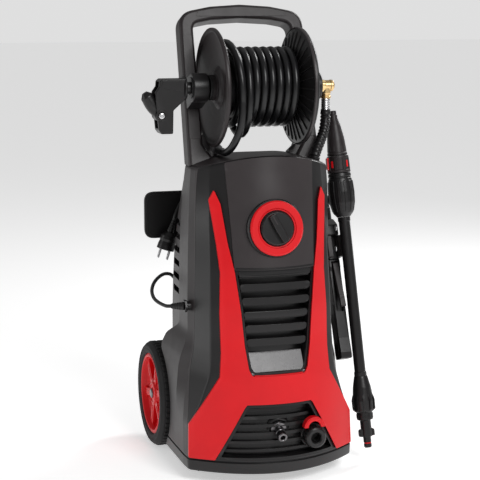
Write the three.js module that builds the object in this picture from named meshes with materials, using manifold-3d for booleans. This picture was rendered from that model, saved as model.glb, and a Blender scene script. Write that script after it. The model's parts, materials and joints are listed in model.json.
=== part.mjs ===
// Upright electric pressure washer with a hose reel on a leaning carry frame.
// Millimetres, +Z up. The front faces -Y and +X is the right side seen from the front.
// The origin lies on the ground, under the middle of the overall box.
import * as THREE from "three";
import { mergeVertices } from "three/addons/utils/BufferGeometryUtils.js";
import Module from "manifold-3d";

const wasm = await Module();
wasm.setup();

// ---------- driving dimensions ----------
const GAP = 0.3; // clearance between touching pieces
const WALL = 3.2; // moulded shell thickness
const BOX_SHIFT_Y = 5; // brings the middle of the overall box to Y = 0
const FAR = 400; // reach of the cutting tools

const SHELL_BOTTOM = 46;
const CROWN_Z = 604; // top of the body on the centre line
const CROWN_DROP = 24; // how much lower the deck is at CROWN_X
const CROWN_X = 127;
const SEAM_Y = -92; // joint of front and rear shell on the side walls

const WHEEL = { y: 100, z: 105, arch: 116 };
const AXLE_R = 8;

const LEAN = THREE.MathUtils.degToRad(18.5); // carry frame leans back
const FRAME_FOOT = { y: -43, z: 605.5 }; // front face of the frame, at the deck
const FRAME_DEPTH = 40;

const REEL = { y: -47, z: 724, drumR: 46 };
const HOSE_D = 14;
const HOSE_LAYER_R = [54, 68]; // centre radii of the two layers of turns
const SHAFT_R = 11;
const BEARING = { x0: 96, x1: 126, r: 27 };

const DIAL = { z: 474, y: -173, ringR: 50.5, knobR: 31.5, tilt: THREE.MathUtils.degToRad(8) };

const OUTLET = { x: 2, z: 88, tip: -211, length: 38, droop: THREE.MathUtils.degToRad(17) };
const INLET = { x: 70, z: 80, face: -187, front: -206, r: 20 };
const CLIP = { x: 68, z: 99, outer: 20.5, inner: 12, depth: 14 };
const FOOT = { x: 112, y0: -98, y1: -66, half: 20 };

const LANCE_FOOT = new THREE.Vector3(203, -135, 28); // bayonet end, lowest
const LANCE_TOP = new THREE.Vector3(168, -14, 676); // nozzle tip
const GUN_FOOT = new THREE.Vector3(169, -90, 196);
const GUN_TOP = new THREE.Vector3(164.5, -4, 430);

const SLEEVE_FOOT = [111, -70, 574]; // where the feed hose goes into the deck

const CABLE_D = 7;
const GLAND = { x: -140.5, y: -72, z: 318 };
const HANK = { x: -56, y0: 129, y1: 159, zTop: 455, zBottom: 305, saddleR: 29, inner: 29.4, outer: 44.5 };

// Plan outline of the body at each height: the front is y = front + bow x^2 as far as x = nose,
// then the corner of the front shell, the widest crease, two points of the rear flank, the rear
// corner and the middle of the back.
const BODY = [
  { z: 22, front: -213, bow: 0.0027, nose: 160, corner: [162, -118], crease: [162, -66],
    flank: [162, 50], flank2: [124, 62], rear: [122, 112], back: 124 },
  { z: 42, front: -214, bow: 0.0027, nose: 161, corner: [163, -118], crease: [163, -66],
    flank: [163, 50], flank2: [124, 62], rear: [122, 112], back: 124 },
  { z: 106, front: -206, bow: 0.0026, nose: 160, corner: [163, -112], crease: [163, -66],
    flank: [163, 50], flank2: [124, 62], rear: [122, 116], back: 126 },
  { z: 151, front: -199, bow: 0.0024, nose: 140, corner: [156, -100], crease: [163, -66],
    flank: [163, 50], flank2: [124, 62], rear: [122, 118], back: 128 },
  { z: 200, front: -194, bow: 0.0024, nose: 124, corner: [143, -92], crease: [159, -66],
    flank: [163, 50], flank2: [124, 62], rear: [123, 120], back: 130 },
  { z: 221, front: -192, bow: 0.0025, nose: 121, corner: [139, -92], crease: [154, -66],
    flank: [163, 50], flank2: [126, 62], rear: [124, 120], back: 130 },
  { z: 246, front: -190, bow: 0.0026, nose: 120, corner: [135, -92], crease: [145, -66],
    flank: [157, 35], flank2: [128, 50], rear: [124, 118], back: 130 },
  { z: 270, front: -188, bow: 0.0027, nose: 119, corner: [134, -92], crease: [140, -66],
    flank: [141, -5], flank2: [131, 26], rear: [124, 118], back: 128 },
  { z: 330, front: -185, bow: 0.0029, nose: 118, corner: [133, -92], crease: [140, -66],
    flank: [138, 5], flank2: [131, 24], rear: [124, 112], back: 122 },
  { z: 400, front: -178, bow: 0.0031, nose: 116, corner: [132, -92], crease: [139, -66],
    flank: [137, 5], flank2: [131, 22], rear: [124, 98], back: 106 },
  { z: 475, front: -168, bow: 0.0034, nose: 113, corner: [131, -92], crease: [137, -66],
    flank: [134, 2], flank2: [131, 14], rear: [122, 72], back: 80 },
  { z: 540, front: -158, bow: 0.0036, nose: 110, corner: [130, -91], crease: [134, -64],
    flank: [131, -6], flank2: [129, 8], rear: [120, 36], back: 42 },
  { z: 575, front: -152, bow: 0.0036, nose: 108, corner: [128, -90], crease: [131, -62],
    flank: [129, -15], flank2: [127, -6], rear: [118, 14], back: 20 },
  { z: 610, front: -147, bow: 0.0036, nose: 104, corner: [121, -90], crease: [125, -60],
    flank: [123, -22], flank2: [120, -16], rear: [111, -4], back: 2 },
];

// Front-view outlines, right half, as [x, z].
const TRIM_OUTER = [
  [104.5, 541], [113, 524], [105, 447], [100.7, 393], [104, 319], [103.5, 247], [107, 202],
  [160, 110], [161.5, 47], [120, 47.5], [66.5, 146], [62, 151.5],
];
const TRIM_INNER = [[87, 449], [77, 395], [68.6, 322], [63.3, 258], [57, 216], [52, 206], [48, 203.5]];
const LOUVRE = [[76, 396], [67.5, 320], [62, 258], [55.5, 216], [51, 208], [47, 205.5]];
const CONNECTION = [[60, 149.5], [65, 145], [117, 49]];

// ---------- materials ----------
const plastic = (color, roughness = 0.5) =>
  new THREE.MeshStandardMaterial({ color, roughness, metalness: 0 });
const metal = (color, roughness = 0.35) => new THREE.MeshStandardMaterial({ color, roughness, metalness: 1 });
const CHARCOAL = plastic(0x4a4647);
const BLACK = plastic(0x262425);
const PANEL_GREY = plastic(0x565253, 0.35);
const RED = plastic(0xd81f2c, 0.4);
const RUBBER = plastic(0x1b1b1c, 0.8);
const HOSE_BLACK = plastic(0x161617, 0.35);
const STEEL = metal(0xb9bbbe);
const BRASS = metal(0xc79a52);
const CAST = metal(0x8f9296, 0.6);

// ---------- solids ----------
// A manifold-3d solid from a closed three.js geometry.
function solid(geometry, matrix) {
  const g = geometry.clone();
  g.deleteAttribute("normal");
  g.deleteAttribute("uv");
  if (matrix) g.applyMatrix4(matrix);
  const merged = mergeVertices(g, 1e-4);
  const vertProperties = merged.attributes.position.array;
  const triVerts = new Uint32Array(merged.index.array);
  return new wasm.Manifold(new wasm.Mesh({ numProp: 3, vertProperties, triVerts }));
}

function geometryOf(body) {
  const { numProp, vertProperties, triVerts } = body.getMesh();
  const position = new Float32Array((vertProperties.length / numProp) * 3);
  for (let i = 0; i < position.length / 3; i++) {
    for (let k = 0; k < 3; k++) position[i * 3 + k] = vertProperties[i * numProp + k];
  }
  const g = new THREE.BufferGeometry().setAttribute("position", new THREE.BufferAttribute(position, 3));
  return g.setIndex(new THREE.BufferAttribute(triVerts, 1));
}

const join = (first, ...rest) => rest.reduce((all, one) => all.add(one), first);
const cut = (first, ...rest) => rest.reduce((all, one) => all.subtract(one), first);
const move = (x, y, z) => new THREE.Matrix4().makeTranslation(x, y, z);
const TO_X = new THREE.Matrix4().makeRotationZ(-Math.PI / 2); // +Y becomes +X

function box(x0, x1, y0, y1, z0, z1) {
  const g = new THREE.BoxGeometry(x1 - x0, y1 - y0, z1 - z0);
  return solid(g, move((x0 + x1) / 2, (y0 + y1) / 2, (z0 + z1) / 2));
}

// A cylinder or cone between two points.
function rod(a, b, r0, r1 = r0, sides = 16) {
  const from = new THREE.Vector3(...a);
  const along = new THREE.Vector3(...b).sub(from);
  const g = new THREE.CylinderGeometry(r1, r0, along.length(), sides);
  const up = new THREE.Vector3(0, 1, 0);
  const turn = new THREE.Quaternion().setFromUnitVectors(up, along.clone().normalize());
  const middle = from.clone().addScaledVector(along, 0.5);
  return solid(g, new THREE.Matrix4().compose(middle, turn, new THREE.Vector3(1, 1, 1)));
}

// A turned piece: profile of [radius, height] that starts and ends on the axis or closes on itself.
function turned(profile, segments, matrix) {
  const g = new THREE.LatheGeometry(profile.map(([r, h]) => new THREE.Vector2(r, h)), segments);
  return solid(g, matrix);
}

function shapeOf(points) {
  return new THREE.Shape(points.map(([a, b]) => new THREE.Vector2(a, b)));
}

// Prisms: an outline in one plane, pushed along the third axis.
function prism(points, depth, bevel = 0) {
  const options = { depth: depth - 2 * bevel, bevelEnabled: bevel > 0, bevelThickness: bevel };
  options.bevelSize = bevel;
  options.bevelOffset = -bevel;
  options.bevelSegments = 1;
  return new THREE.ExtrudeGeometry(shapeOf(points), options).translate(0, 0, bevel);
}
const prismXY = (points, z0, z1, bevel) => solid(prism(points, z1 - z0, bevel), move(0, 0, z0));
const XZ_PLANE = new THREE.Matrix4().makeRotationX(Math.PI / 2);
const prismXZ = (points, y0, y1, bevel) =>
  solid(prism(points, y1 - y0, bevel), new THREE.Matrix4().multiplyMatrices(move(0, y1, 0), XZ_PLANE));
const YZ_PLANE = new THREE.Matrix4().makeBasis(
  new THREE.Vector3(0, 1, 0), new THREE.Vector3(0, 0, 1), new THREE.Vector3(1, 0, 0));
const prismYZ = (points, x0, x1, bevel) =>
  solid(prism(points, x1 - x0, bevel), new THREE.Matrix4().multiplyMatrices(move(x0, 0, 0), YZ_PLANE));

const mirrored = (half) => [...half, ...half.map(([x, z]) => [-x, z]).reverse()];

function roundedRect(x0, x1, z0, z1, r, steps = 4) {
  const corners = [[x1 - r, z0 + r, -90], [x1 - r, z1 - r, 0], [x0 + r, z1 - r, 90], [x0 + r, z0 + r, 180]];
  return corners.flatMap(([cx, cz, from]) => Array.from({ length: steps + 1 }, (_, i) => {
    const a = THREE.MathUtils.degToRad(from + (90 * i) / steps);
    return [cx + r * Math.cos(a), cz + r * Math.sin(a)];
  }));
}

// A round tube along a smooth route.
function tube(route, radius, sides, steps) {
  const path = new THREE.CatmullRomCurve3(route.map((p) => new THREE.Vector3(...p)), false, "centripetal");
  const ring = Array.from({ length: sides }, (_, i) => {
    const a = (2 * Math.PI * i) / sides;
    return new THREE.Vector2(radius * Math.cos(a), radius * Math.sin(a));
  });
  return solid(new THREE.ExtrudeGeometry(new THREE.Shape(ring), { extrudePath: path, steps }));
}

// ---------- body shells ----------
const FRONT_STEPS = 4;

function bodyRow(z) {
  let i = 0;
  while (i < BODY.length - 2 && z > BODY[i + 1].z) i++;
  const [a, b] = [BODY[i], BODY[i + 1]];
  const t = (z - a.z) / (b.z - a.z);
  const mix = (p, q) => (Array.isArray(p) ? p.map((v, k) => mix(v, q[k])) : p + (q - p) * t);
  return Object.fromEntries(Object.keys(a).map((key) => [key, mix(a[key], b[key])]));
}

const frontY = (x, z) => {
  const row = bodyRow(z);
  return row.front + row.bow * x * x;
};

// Plan ring at one height, anticlockwise from above, grown outwards by `grow`.
function bodyRing(row, grow) {
  const half = [];
  for (let i = 0; i <= FRONT_STEPS; i++) {
    const x = (row.nose * i) / FRONT_STEPS;
    half.push([x, row.front + row.bow * x * x]);
  }
  half.push(row.corner, row.crease, row.flank, row.flank2, row.rear, [0, row.back]);
  const left = half.slice(1, -1).map(([x, y]) => [-x, y]).reverse();
  const ring = [...half, ...left];
  return ring.map(([x, y], i) => {
    const [px, py] = ring[(i + ring.length - 1) % ring.length];
    const [nx, ny] = ring[(i + 1) % ring.length];
    const length = Math.hypot(nx - px, ny - py);
    return [x + (grow * (ny - py)) / length, y - (grow * (nx - px)) / length];
  });
}

// The body's outer form, grown by `grow`, between the first and last rows of BODY.
function bodyForm(grow, zLow = BODY[0].z) {
  const rows = [bodyRow(zLow), ...BODY.filter((row) => row.z > zLow)];
  const rings = rows.map((row) => bodyRing(row, grow).map(([x, y]) => [x, y, row.z]));
  const n = rings[0].length;
  const positions = rings.flat();
  const faces = [];
  for (let j = 0; j < rings.length - 1; j++) {
    for (let i = 0; i < n; i++) {
      const [a, b] = [j * n + i, j * n + ((i + 1) % n)];
      faces.push(a, b, b + n, a, b + n, a + n);
    }
  }
  const cap = (ring) => THREE.ShapeUtils.triangulateShape(ring.map(([x, y]) => new THREE.Vector2(x, y)), []);
  const top = (rings.length - 1) * n;
  cap(rings[0]).forEach(([a, b, c]) => faces.push(a, c, b));
  cap(rings.at(-1)).forEach(([a, b, c]) => faces.push(top + a, top + b, top + c));
  const g = new THREE.BufferGeometry();
  g.setAttribute("position", new THREE.BufferAttribute(new Float32Array(positions.flat()), 3));
  return solid(g.setIndex(faces));
}

const crownZ = (x) => CROWN_Z - CROWN_DROP * (x / CROWN_X) ** 2;

// Everything below the crowned deck, lowered by `down`.
function belowCrown(down) {
  const arc = Array.from({ length: 13 }, (_, i) => {
    const x = 170 - (340 * i) / 12;
    return [x, crownZ(x) - down];
  });
  return prismXZ([[-170, -20], [170, -20], ...arc], -FAR, FAR);
}

const body = bodyForm(0);
const bodySolid = body.intersect(belowCrown(0));
const hollow = bodyForm(-WALL).intersect(belowCrown(WALL));
const wallRing = cut(bodySolid, hollow);

// Region in front of the shell joint, stepped forward on the flared base.
const frontRegion = (shift) => prismYZ([
  [-FAR, -20], [-134 - shift, -20], [-134 - shift, 106], [SEAM_Y - shift, 202],
  [SEAM_Y - shift, 700], [-FAR, 700],
], -FAR, FAR);
const aboveFoot = box(-FAR, FAR, -FAR, FAR, SHELL_BOTTOM, 900);

// A skin that follows the front surface, between two depths measured forwards from it.
function frontSkin(outline, ahead, behind, form = body) {
  const window = prismXZ(outline, -FAR, -60);
  return window.intersect(form.translate(0, -ahead, 0)).subtract(form.translate(0, -behind, 0));
}
const frontWindow = (outline) => prismXZ(outline, -FAR, -60);
const wheelArch = (side) =>
  rod([side * 127, WHEEL.y, WHEEL.z], [side * 190, WHEEL.y, WHEEL.z], WHEEL.arch, WHEEL.arch, 32);

const VENTS = { count: 6, first: 318, pitch: 27, height: 12 };
function ventSlots() {
  return [-1, 1].flatMap((side) => Array.from({ length: VENTS.count }, (_, i) => {
    const z = VENTS.first + i * VENTS.pitch;
    const [near, far] = side < 0 ? [-150, -117] : [117, 150];
    return box(near, far, 28, 90, z, z + VENTS.height);
  }));
}

const tenon = (side, grow) => prismXY(
  roundedRect(side * 112 - 11 - grow, side * 112 + 11 + grow, 6 - grow, 34 + grow, 3, 2), -92, 20);
const leanMatrix = new THREE.Matrix4().multiplyMatrices(
  move(0, FRAME_FOOT.y, FRAME_FOOT.z), new THREE.Matrix4().makeRotationX(-LEAN));

function placed(part, matrix) {
  return part.transform(matrix.elements);
}

const [feedX, feedY] = SLEEVE_FOOT;
const feedHole = rod([feedX, feedY, 560], [feedX, feedY, 620], 12, 12, 16);
const rearShell = cut(
  wallRing.intersect(aboveFoot).subtract(frontRegion(0).intersect(belowCrown(WALL + GAP))),
  wheelArch(-1), wheelArch(1), ...ventSlots(), feedHole,
  placed(tenon(-1, 0.4), leanMatrix), placed(tenon(1, 0.4), leanMatrix),
  rod([-60, WHEEL.y, WHEEL.z], [-200, WHEEL.y, WHEEL.z], AXLE_R + 0.4),
  rod([60, WHEEL.y, WHEEL.z], [200, WHEEL.y, WHEEL.z], AXLE_R + 0.4),
  rod([GLAND.x + 20, GLAND.y + 4, GLAND.z], [GLAND.x - 22, GLAND.y - 3, GLAND.z], 8.5, 8.5, 16),
);

const knobShaftHole = rod([0, -100, DIAL.z - 12], [0, -220, DIAL.z + 4], 9, 9, 16);
const frontShell = cut(
  wallRing.intersect(aboveFoot).intersect(frontRegion(GAP)).intersect(belowCrown(WALL + 2 * GAP)),
  frontWindow(mirrored(LOUVRE)), frontWindow(mirrored(CONNECTION)), knobShaftHole,
);

// ---------- front trim ----------
const panelOutline = roundedRect(-78, 78, 397.5, 640, 6, 2);
const dialPlinth = rod([0, DIAL.y + 22, DIAL.z - 3], [0, DIAL.y, DIAL.z], DIAL.ringR + 2, DIAL.ringR + 2, 28);
const controlPanel = cut(
  join(frontSkin(panelOutline, 3, GAP).intersect(belowCrown(WALL + 2 * GAP)),
    dialPlinth.subtract(body.translate(0, -GAP, 0))),
  knobShaftHole,
);

const trimLoop = [...TRIM_OUTER, ...TRIM_OUTER.map(([x, z]) => [-x, z]).reverse()];
const louvreHole = mirrored([[86, 640], ...TRIM_INNER]);
const legInner = [[104, 560], [103.5, 541], [95, 517], [86.5, 449], ...TRIM_INNER.slice(1)];
const legGap = prismXZ(mirrored(legInner), -FAR, -60);
const trimFrame = frontSkin(trimLoop, 5, GAP).subtract(legGap).subtract(frontWindow(louvreHole));

const shrink = (points, d) => points.map(([x, z], i) => [x - d, z + (i > points.length - 3 ? d : 0)]);
const louvreOutline = mirrored(shrink(LOUVRE, GAP).map(([x, z], i) => (i ? [x, z] : [x, 395.7])));
const louvreInner = mirrored(shrink(LOUVRE, 7).map(([x, z], i) => (i ? [x, z] : [x, 389])));
const SLATS = { count: 6, first: 258, pitch: 25.4, height: 13 };
function louvreGrille() {
  const pan = frontSkin(louvreOutline, 0, -26).subtract(
    frontWindow(louvreInner).subtract(body.translate(0, 22.5, 0)));
  const slats = Array.from({ length: SLATS.count }, (_, i) => {
    const z = SLATS.first + i * SLATS.pitch;
    return frontWindow(mirrored([[60, z + SLATS.height], [60, z]]))
      .intersect(frontWindow(louvreOutline)).intersect(body.translate(0, 8, 0))
      .subtract(body.translate(0, 24, 0));
  });
  const ledgeSide = [[-230, 196], [-150, 196], [-150, 246], [-164, 243], [-190, 207], [-230, 207]];
  const ledge = prismYZ(ledgeSide, -60, 60).intersect(frontWindow(louvreOutline))
    .intersect(body.translate(0, 0.5, 0)).subtract(body.translate(0, 26, 0));
  return join(pan, ...slats, ledge);
}

const connectionOutline = mirrored(CONNECTION.map(([x, z], i) => [x - GAP, i === 2 ? z + GAP : z - GAP]));
const connectionInner = mirrored([[56, 144], [60, 141], [107, 54]]);
const RIBS = { count: 6, first: 58, pitch: 15.2, height: 6 };
const PANEL_DEPTH = 26;
// A point on the outlet's axis, which droops to the front, at a distance out from the recess floor.
const outletAt = (t) => {
  const back = OUTLET.length - t;
  return [OUTLET.x, OUTLET.tip + back * Math.cos(OUTLET.droop), OUTLET.z + back * Math.sin(OUTLET.droop)];
};
function connectionPanel() {
  const pan = frontSkin(connectionOutline, 0, -PANEL_DEPTH - 4).subtract(
    frontWindow(connectionInner).subtract(body.translate(0, PANEL_DEPTH, 0)));
  const ribs = Array.from({ length: RIBS.count }, (_, i) => {
    const z = RIBS.first + i * RIBS.pitch;
    return frontWindow(mirrored([[115, z + RIBS.height], [115, z]])).intersect(frontWindow(connectionOutline))
      .intersect(body.translate(0, PANEL_DEPTH - 8, 0)).subtract(body.translate(0, PANEL_DEPTH + 2, 0));
  });
  const outletBoss = rod(outletAt(-10), outletAt(6), 24, 22, 24);
  const outletFace = rod(outletAt(6), outletAt(60), 18);
  const inletBoss = rod([INLET.x, frontY(INLET.x, INLET.z) + PANEL_DEPTH + 3, INLET.z],
    [INLET.x, INLET.face, INLET.z], 24, 24, 24);
  return cut(join(pan, ...ribs, outletBoss, inletBoss),
    rod(outletAt(-60), outletAt(60), 10.4), outletFace,
    rod([INLET.x, -100, INLET.z], [INLET.x, -250, INLET.z], 13),
    rod([CLIP.x, INLET.face, CLIP.z], [CLIP.x, -250, CLIP.z], CLIP.outer + 1, CLIP.outer + 1, 24));
}

// ---------- chassis ----------
function baseTray() {
  const below = box(-FAR, FAR, -FAR, FAR, 20, SHELL_BOTTOM - GAP);
  const outer = bodyForm(1.5).intersect(below);
  const pocket = bodyForm(-WALL).intersect(box(-FAR, FAR, -FAR, FAR, 28, 60));
  return cut(outer, pocket, wheelArch(-1), wheelArch(1));
}

const foot = (side) => prismXY(
  roundedRect(side * FOOT.x - FOOT.half, side * FOOT.x + FOOT.half, FOOT.y0, FOOT.y1, 6, 3),
  0, BODY[0].z - GAP, 2);

// Turned about the axle, x measured outwards along it.
const aboutAxle = (side) => {
  const turn = new THREE.Matrix4().makeRotationZ(side > 0 ? -Math.PI / 2 : Math.PI / 2);
  return new THREE.Matrix4().multiplyMatrices(move(0, WHEEL.y, WHEEL.z), turn);
};
const TYRE = [[81, 132], [97, 131], [105, 139], [105, 168], [97, 176], [85, 175.5], [81, 173], [81, 132]];
const HUB = [
  [0, 150], [9, 150], [9, 131], [19, 131], [24, 154], [70, 150], [74, 134], [80.7, 134], [80.7, 172],
  [74, 173.5], [67, 160], [24, 164], [18, 170], [0, 170],
];
const SPOKES = 6;
function hub(side) {
  const ribs = Array.from({ length: SPOKES }, (_, i) => {
    const a = (2 * Math.PI * (i + 0.3)) / SPOKES;
    const at = (r, x) => [side * x, WHEEL.y + r * Math.cos(a), WHEEL.z + r * Math.sin(a)];
    return rod(at(14, 161), at(72, 161), 8, 6, 6);
  });
  return join(turned(HUB, 28, aboutAxle(side)), ...ribs);
}

// ---------- carry frame and reel ----------
const FRAME_OUTER = [[130.8, -40], [124, 240], [122.6, 254], [117, 266], [107, 274], [60, 283.5], [0, 287.5]];
const FRAME_INNER = [
  [0, 260], [60, 256.5], [88, 250.5], [95, 244], [97.5, 235], [99.5, 14], [84, -10], [84, -40],
];
function handleFrame() {
  const left = (points) => points.map(([x, v]) => [-x, v]).reverse();
  const outline = [
    ...FRAME_OUTER, ...left(FRAME_OUTER).slice(1), ...left(FRAME_INNER).slice(0, -1), ...FRAME_INNER,
  ];
  const hoop = placed(prismXZ(outline, 0, FRAME_DEPTH, 2.5), leanMatrix).subtract(belowCrown(-GAP));
  return join(hoop, placed(tenon(-1, 0), leanMatrix), placed(tenon(1, 0), leanMatrix));
}

function reelBracket(side) {
  const [near, far] = side < 0 ? [-BEARING.x1, -BEARING.x0] : [BEARING.x0, BEARING.x1];
  const axis = { d: -41.4, v: 111.1 }; // reel axis in the leaning frame
  const block = box(near + 1, far - 1, axis.d, -GAP, axis.v - 24, axis.v + 24);
  const housing = rod([near, axis.d, axis.v], [far, axis.d, axis.v], BEARING.r, BEARING.r, 24);
  const bore = rod([near - 5, axis.d, axis.v], [far + 5, axis.d, axis.v], SHAFT_R + 0.4, SHAFT_R + 0.4, 16);
  return placed(cut(join(block, housing), bore), leanMatrix);
}

const aboutReel = new THREE.Matrix4().multiplyMatrices(move(0, REEL.y, REEL.z), TO_X);
const flip = (profile) => profile.map(([r, x]) => [r, -x]).reverse();
const FLANGE = [
  [0, 62.3], [26, 62.3], [104, 79], [110, 82], [110, 88], [104.5, 88], [103, 83], [24, 67],
  [18, 70], [18, 88], [0, 88],
];
const STUB = [[0, 88.3], [24, 88.3], [24, 94.5], [SHAFT_R, 94.5], [SHAFT_R, 128], [0, 128]];
const CRANK_STUB = [[0, 88.3], [24, 88.3], [24, 94.5], [SHAFT_R, 94.5], [SHAFT_R, 137], [0, 137]];
const DRUM = [[0, -62], [REEL.drumR, -62], [REEL.drumR, 62], [0, 62]];
const COIL_R = [REEL.drumR + 0.5, HOSE_LAYER_R[1] + HOSE_D / 2 + 1];
const COIL = [[COIL_R[0], -60], [COIL_R[1], -69], [COIL_R[1], 69], [COIL_R[0], 60], [COIL_R[0], -60]];

const CRANK = { x: -137.3, pivotX: -186, pivotZ: 675, near: -64, far: -30 };
const CRANK_ARM = [
  [CRANK.x, 742], [-184, 742], [-189, 738], [-190, 728], [-197, 718], [-196, 700], [-191, 648], [-186, 641],
  [-164, 641], [-163, 684], [CRANK.x, 707],
];
function crankArm() {
  const { near, far, pivotX, pivotZ } = CRANK;
  return cut(prismXZ(CRANK_ARM, near, far, 1.5),
    box(-210, pivotX + 13, near + 5.5, far - 5.5, pivotZ - 24, pivotZ + 62),
    rod([pivotX, near - 5, pivotZ], [pivotX, far + 5, pivotZ], 3.8, 3.8, 14));
}
function crankGrip() {
  const { near, far, pivotX, pivotZ } = CRANK;
  const eye = rod([pivotX, near + 6, pivotZ], [pivotX, far - 6, pivotZ], 11, 11, 20);
  const neck = rod([pivotX - 4, -47, pivotZ + 6], [pivotX - 12, -47, pivotZ + 15], 9.5, 10, 16);
  const bar = rod([pivotX - 12, -47, pivotZ + 15], [pivotX - 28, -47, pivotZ + 41], 10.5, 9, 16);
  const hole = rod([pivotX, near, pivotZ], [pivotX, far, pivotZ], 3.8, 3.8, 14);
  return cut(join(eye, neck, bar), hole);
}
const screwEnd = (y) => [CRANK.pivotX, y, CRANK.pivotZ];
const crankScrew = rod(screwEnd(CRANK.near - 1.5), screwEnd(CRANK.far + 1.5), 3.4, 3.4, 14);

// ---------- hoses ----------
const HOSE_TAIL = [
  [-50, -127, 703], [-51, -127, 676], [-56, -122, 644], [-66, -109, 617], [-71, -88, 606.5],
  [-71, -62, 606.5], [-71, -36, 606.5],
];
const connector = join(
  rod([-71, -35.7, 606.5], [-71, -12, 606.5], 9.5, 9.5, 16),
  rod([-71, -12, 606.5], [-71, 8, 606.5], 6.5, 6.5, 16),
);
const ELBOW = { x: 141, z: REEL.z };
const elbow = join(
  rod([128.4, REEL.y, ELBOW.z], [149, REEL.y, ELBOW.z], 11, 11, 20),
  rod([149, REEL.y, ELBOW.z], [154, REEL.y, ELBOW.z], 11, 7, 20),
  rod([ELBOW.x, REEL.y, ELBOW.z], [ELBOW.x, REEL.y, ELBOW.z - 24], 9.5, 8.5, 20),
);
const ferrule = rod([ELBOW.x, REEL.y, ELBOW.z - 24.3], [ELBOW.x, REEL.y, ELBOW.z - 45], 7.5, 8.5, 20);
const SLEEVE = [
  [ELBOW.x, REEL.y, ELBOW.z - 45.4], [ELBOW.x, REEL.y, 662], [136, -52, 638], [121, -63, 611],
  [SLEEVE_FOOT[0] + 1, SLEEVE_FOOT[1], 594], SLEEVE_FOOT,
];
const PUMP_HOSE = [
  [SLEEVE_FOOT[0], SLEEVE_FOOT[1], SLEEVE_FOOT[2] - 1], [110.5, -72, 556], [107, -80, 530], [104, -78, 470],
  [99, -66, 380], [95, -58, 290], [90, -50, 200], [80, -40, 120], [68, -36, 94], [57, -36, 92],
];

// ---------- inside ----------
const MOTOR = { x: 0, y: -15, r: 58, z0: 212, z1: 372 };
const motor = join(
  rod([MOTOR.x, MOTOR.y, MOTOR.z0], [MOTOR.x, MOTOR.y, MOTOR.z1], MOTOR.r, MOTOR.r, 20),
  rod([MOTOR.x, MOTOR.y, MOTOR.z1], [MOTOR.x, MOTOR.y, MOTOR.z1 + 18], 40, 34, 20));
const pump = join(
  rod([MOTOR.x, MOTOR.y, 112], [MOTOR.x, MOTOR.y, MOTOR.z0 - GAP], 44, 56, 20),
  box(-50, 50, -72, 30, 62, 113), rod([45, -36, 92], [56, -36, 92], 7));
const capacitor = rod([90, -8, 252], [90, -8, 336], 20, 20, 20);
const switchBox = box(-24, 24, -157, -122, DIAL.z - 26, DIAL.z + 22);
const INLET_PIPE = [[50.6, -50, 80], [57, -50, 80], [68, -64, 80], [70, -100, 80], [70, -149.6, 80]];

// ---------- connections and dial ----------
const outletFitting = join(
  rod([OUTLET.x, -72.9, 100], [OUTLET.x, -136, 110], 5, 5, 10),
  rod(outletAt(-42), outletAt(OUTLET.length), 8.5),
  rod(outletAt(6 + GAP), outletAt(11), 17, 15, 20),
).subtract(rod(outletAt(OUTLET.length - 14), outletAt(OUTLET.length + 5), 4.5, 4.5, 12));
const inletCoupling = join(
  rod([INLET.x, -150, INLET.z], [INLET.x, INLET.face - 1, INLET.z], 12),
  rod([INLET.x, INLET.face - GAP, INLET.z], [INLET.x, INLET.front, INLET.z], INLET.r, INLET.r, 24),
).subtract(rod([INLET.x, INLET.front + 22, INLET.z], [INLET.x, INLET.front - 5, INLET.z], 9, 9, 16));
function inletClip() {
  const arc = (r) => Array.from({ length: 13 }, (_, i) => {
    const a = (Math.PI * i) / 12;
    return [CLIP.x + r * Math.cos(a), CLIP.z + r * Math.sin(a)];
  });
  const outline = [...arc(CLIP.outer), ...arc(CLIP.inner).reverse()];
  return prismXZ(outline, INLET.face - CLIP.depth, INLET.face - GAP, 1);
}

// Pieces of the dial, turned about the control panel's own normal.
const aboutDial = new THREE.Matrix4().multiplyMatrices(
  move(0, DIAL.y, DIAL.z), new THREE.Matrix4().makeRotationX(Math.PI - DIAL.tilt));
const DIAL_RING = [[33, GAP], [DIAL.ringR, GAP], [DIAL.ringR, 4.5], [48, 6.5], [36, 6.5], [33, 4], [33, GAP]];
const KNOB = [[0, -11], [5, -11], [5, 1], [DIAL.knobR, 1], [DIAL.knobR, 8], [29, 10], [0, 10]];
function powerKnob() {
  const disc = turned(KNOB, 28, aboutDial);
  const bar = new THREE.BoxGeometry(13, 14, 56).rotateY(THREE.MathUtils.degToRad(28)).translate(0, 13, 0);
  return disc.add(solid(bar, aboutDial));
}

// ---------- lance, trigger gun and their holder ----------
// Frame of a long piece: +Y along it from foot to top, +X outwards, +Z to the front.
function alongMatrix(footPoint, topPoint) {
  const along = topPoint.clone().sub(footPoint).normalize();
  const out = new THREE.Vector3(1, 0, 0).addScaledVector(along, -along.x).normalize();
  const front = new THREE.Vector3().crossVectors(out, along);
  return new THREE.Matrix4().makeBasis(out, along, front).setPosition(footPoint);
}
const lanceMatrix = alongMatrix(LANCE_FOOT, LANCE_TOP);
const gunMatrix = alongMatrix(GUN_FOOT, GUN_TOP);

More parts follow.
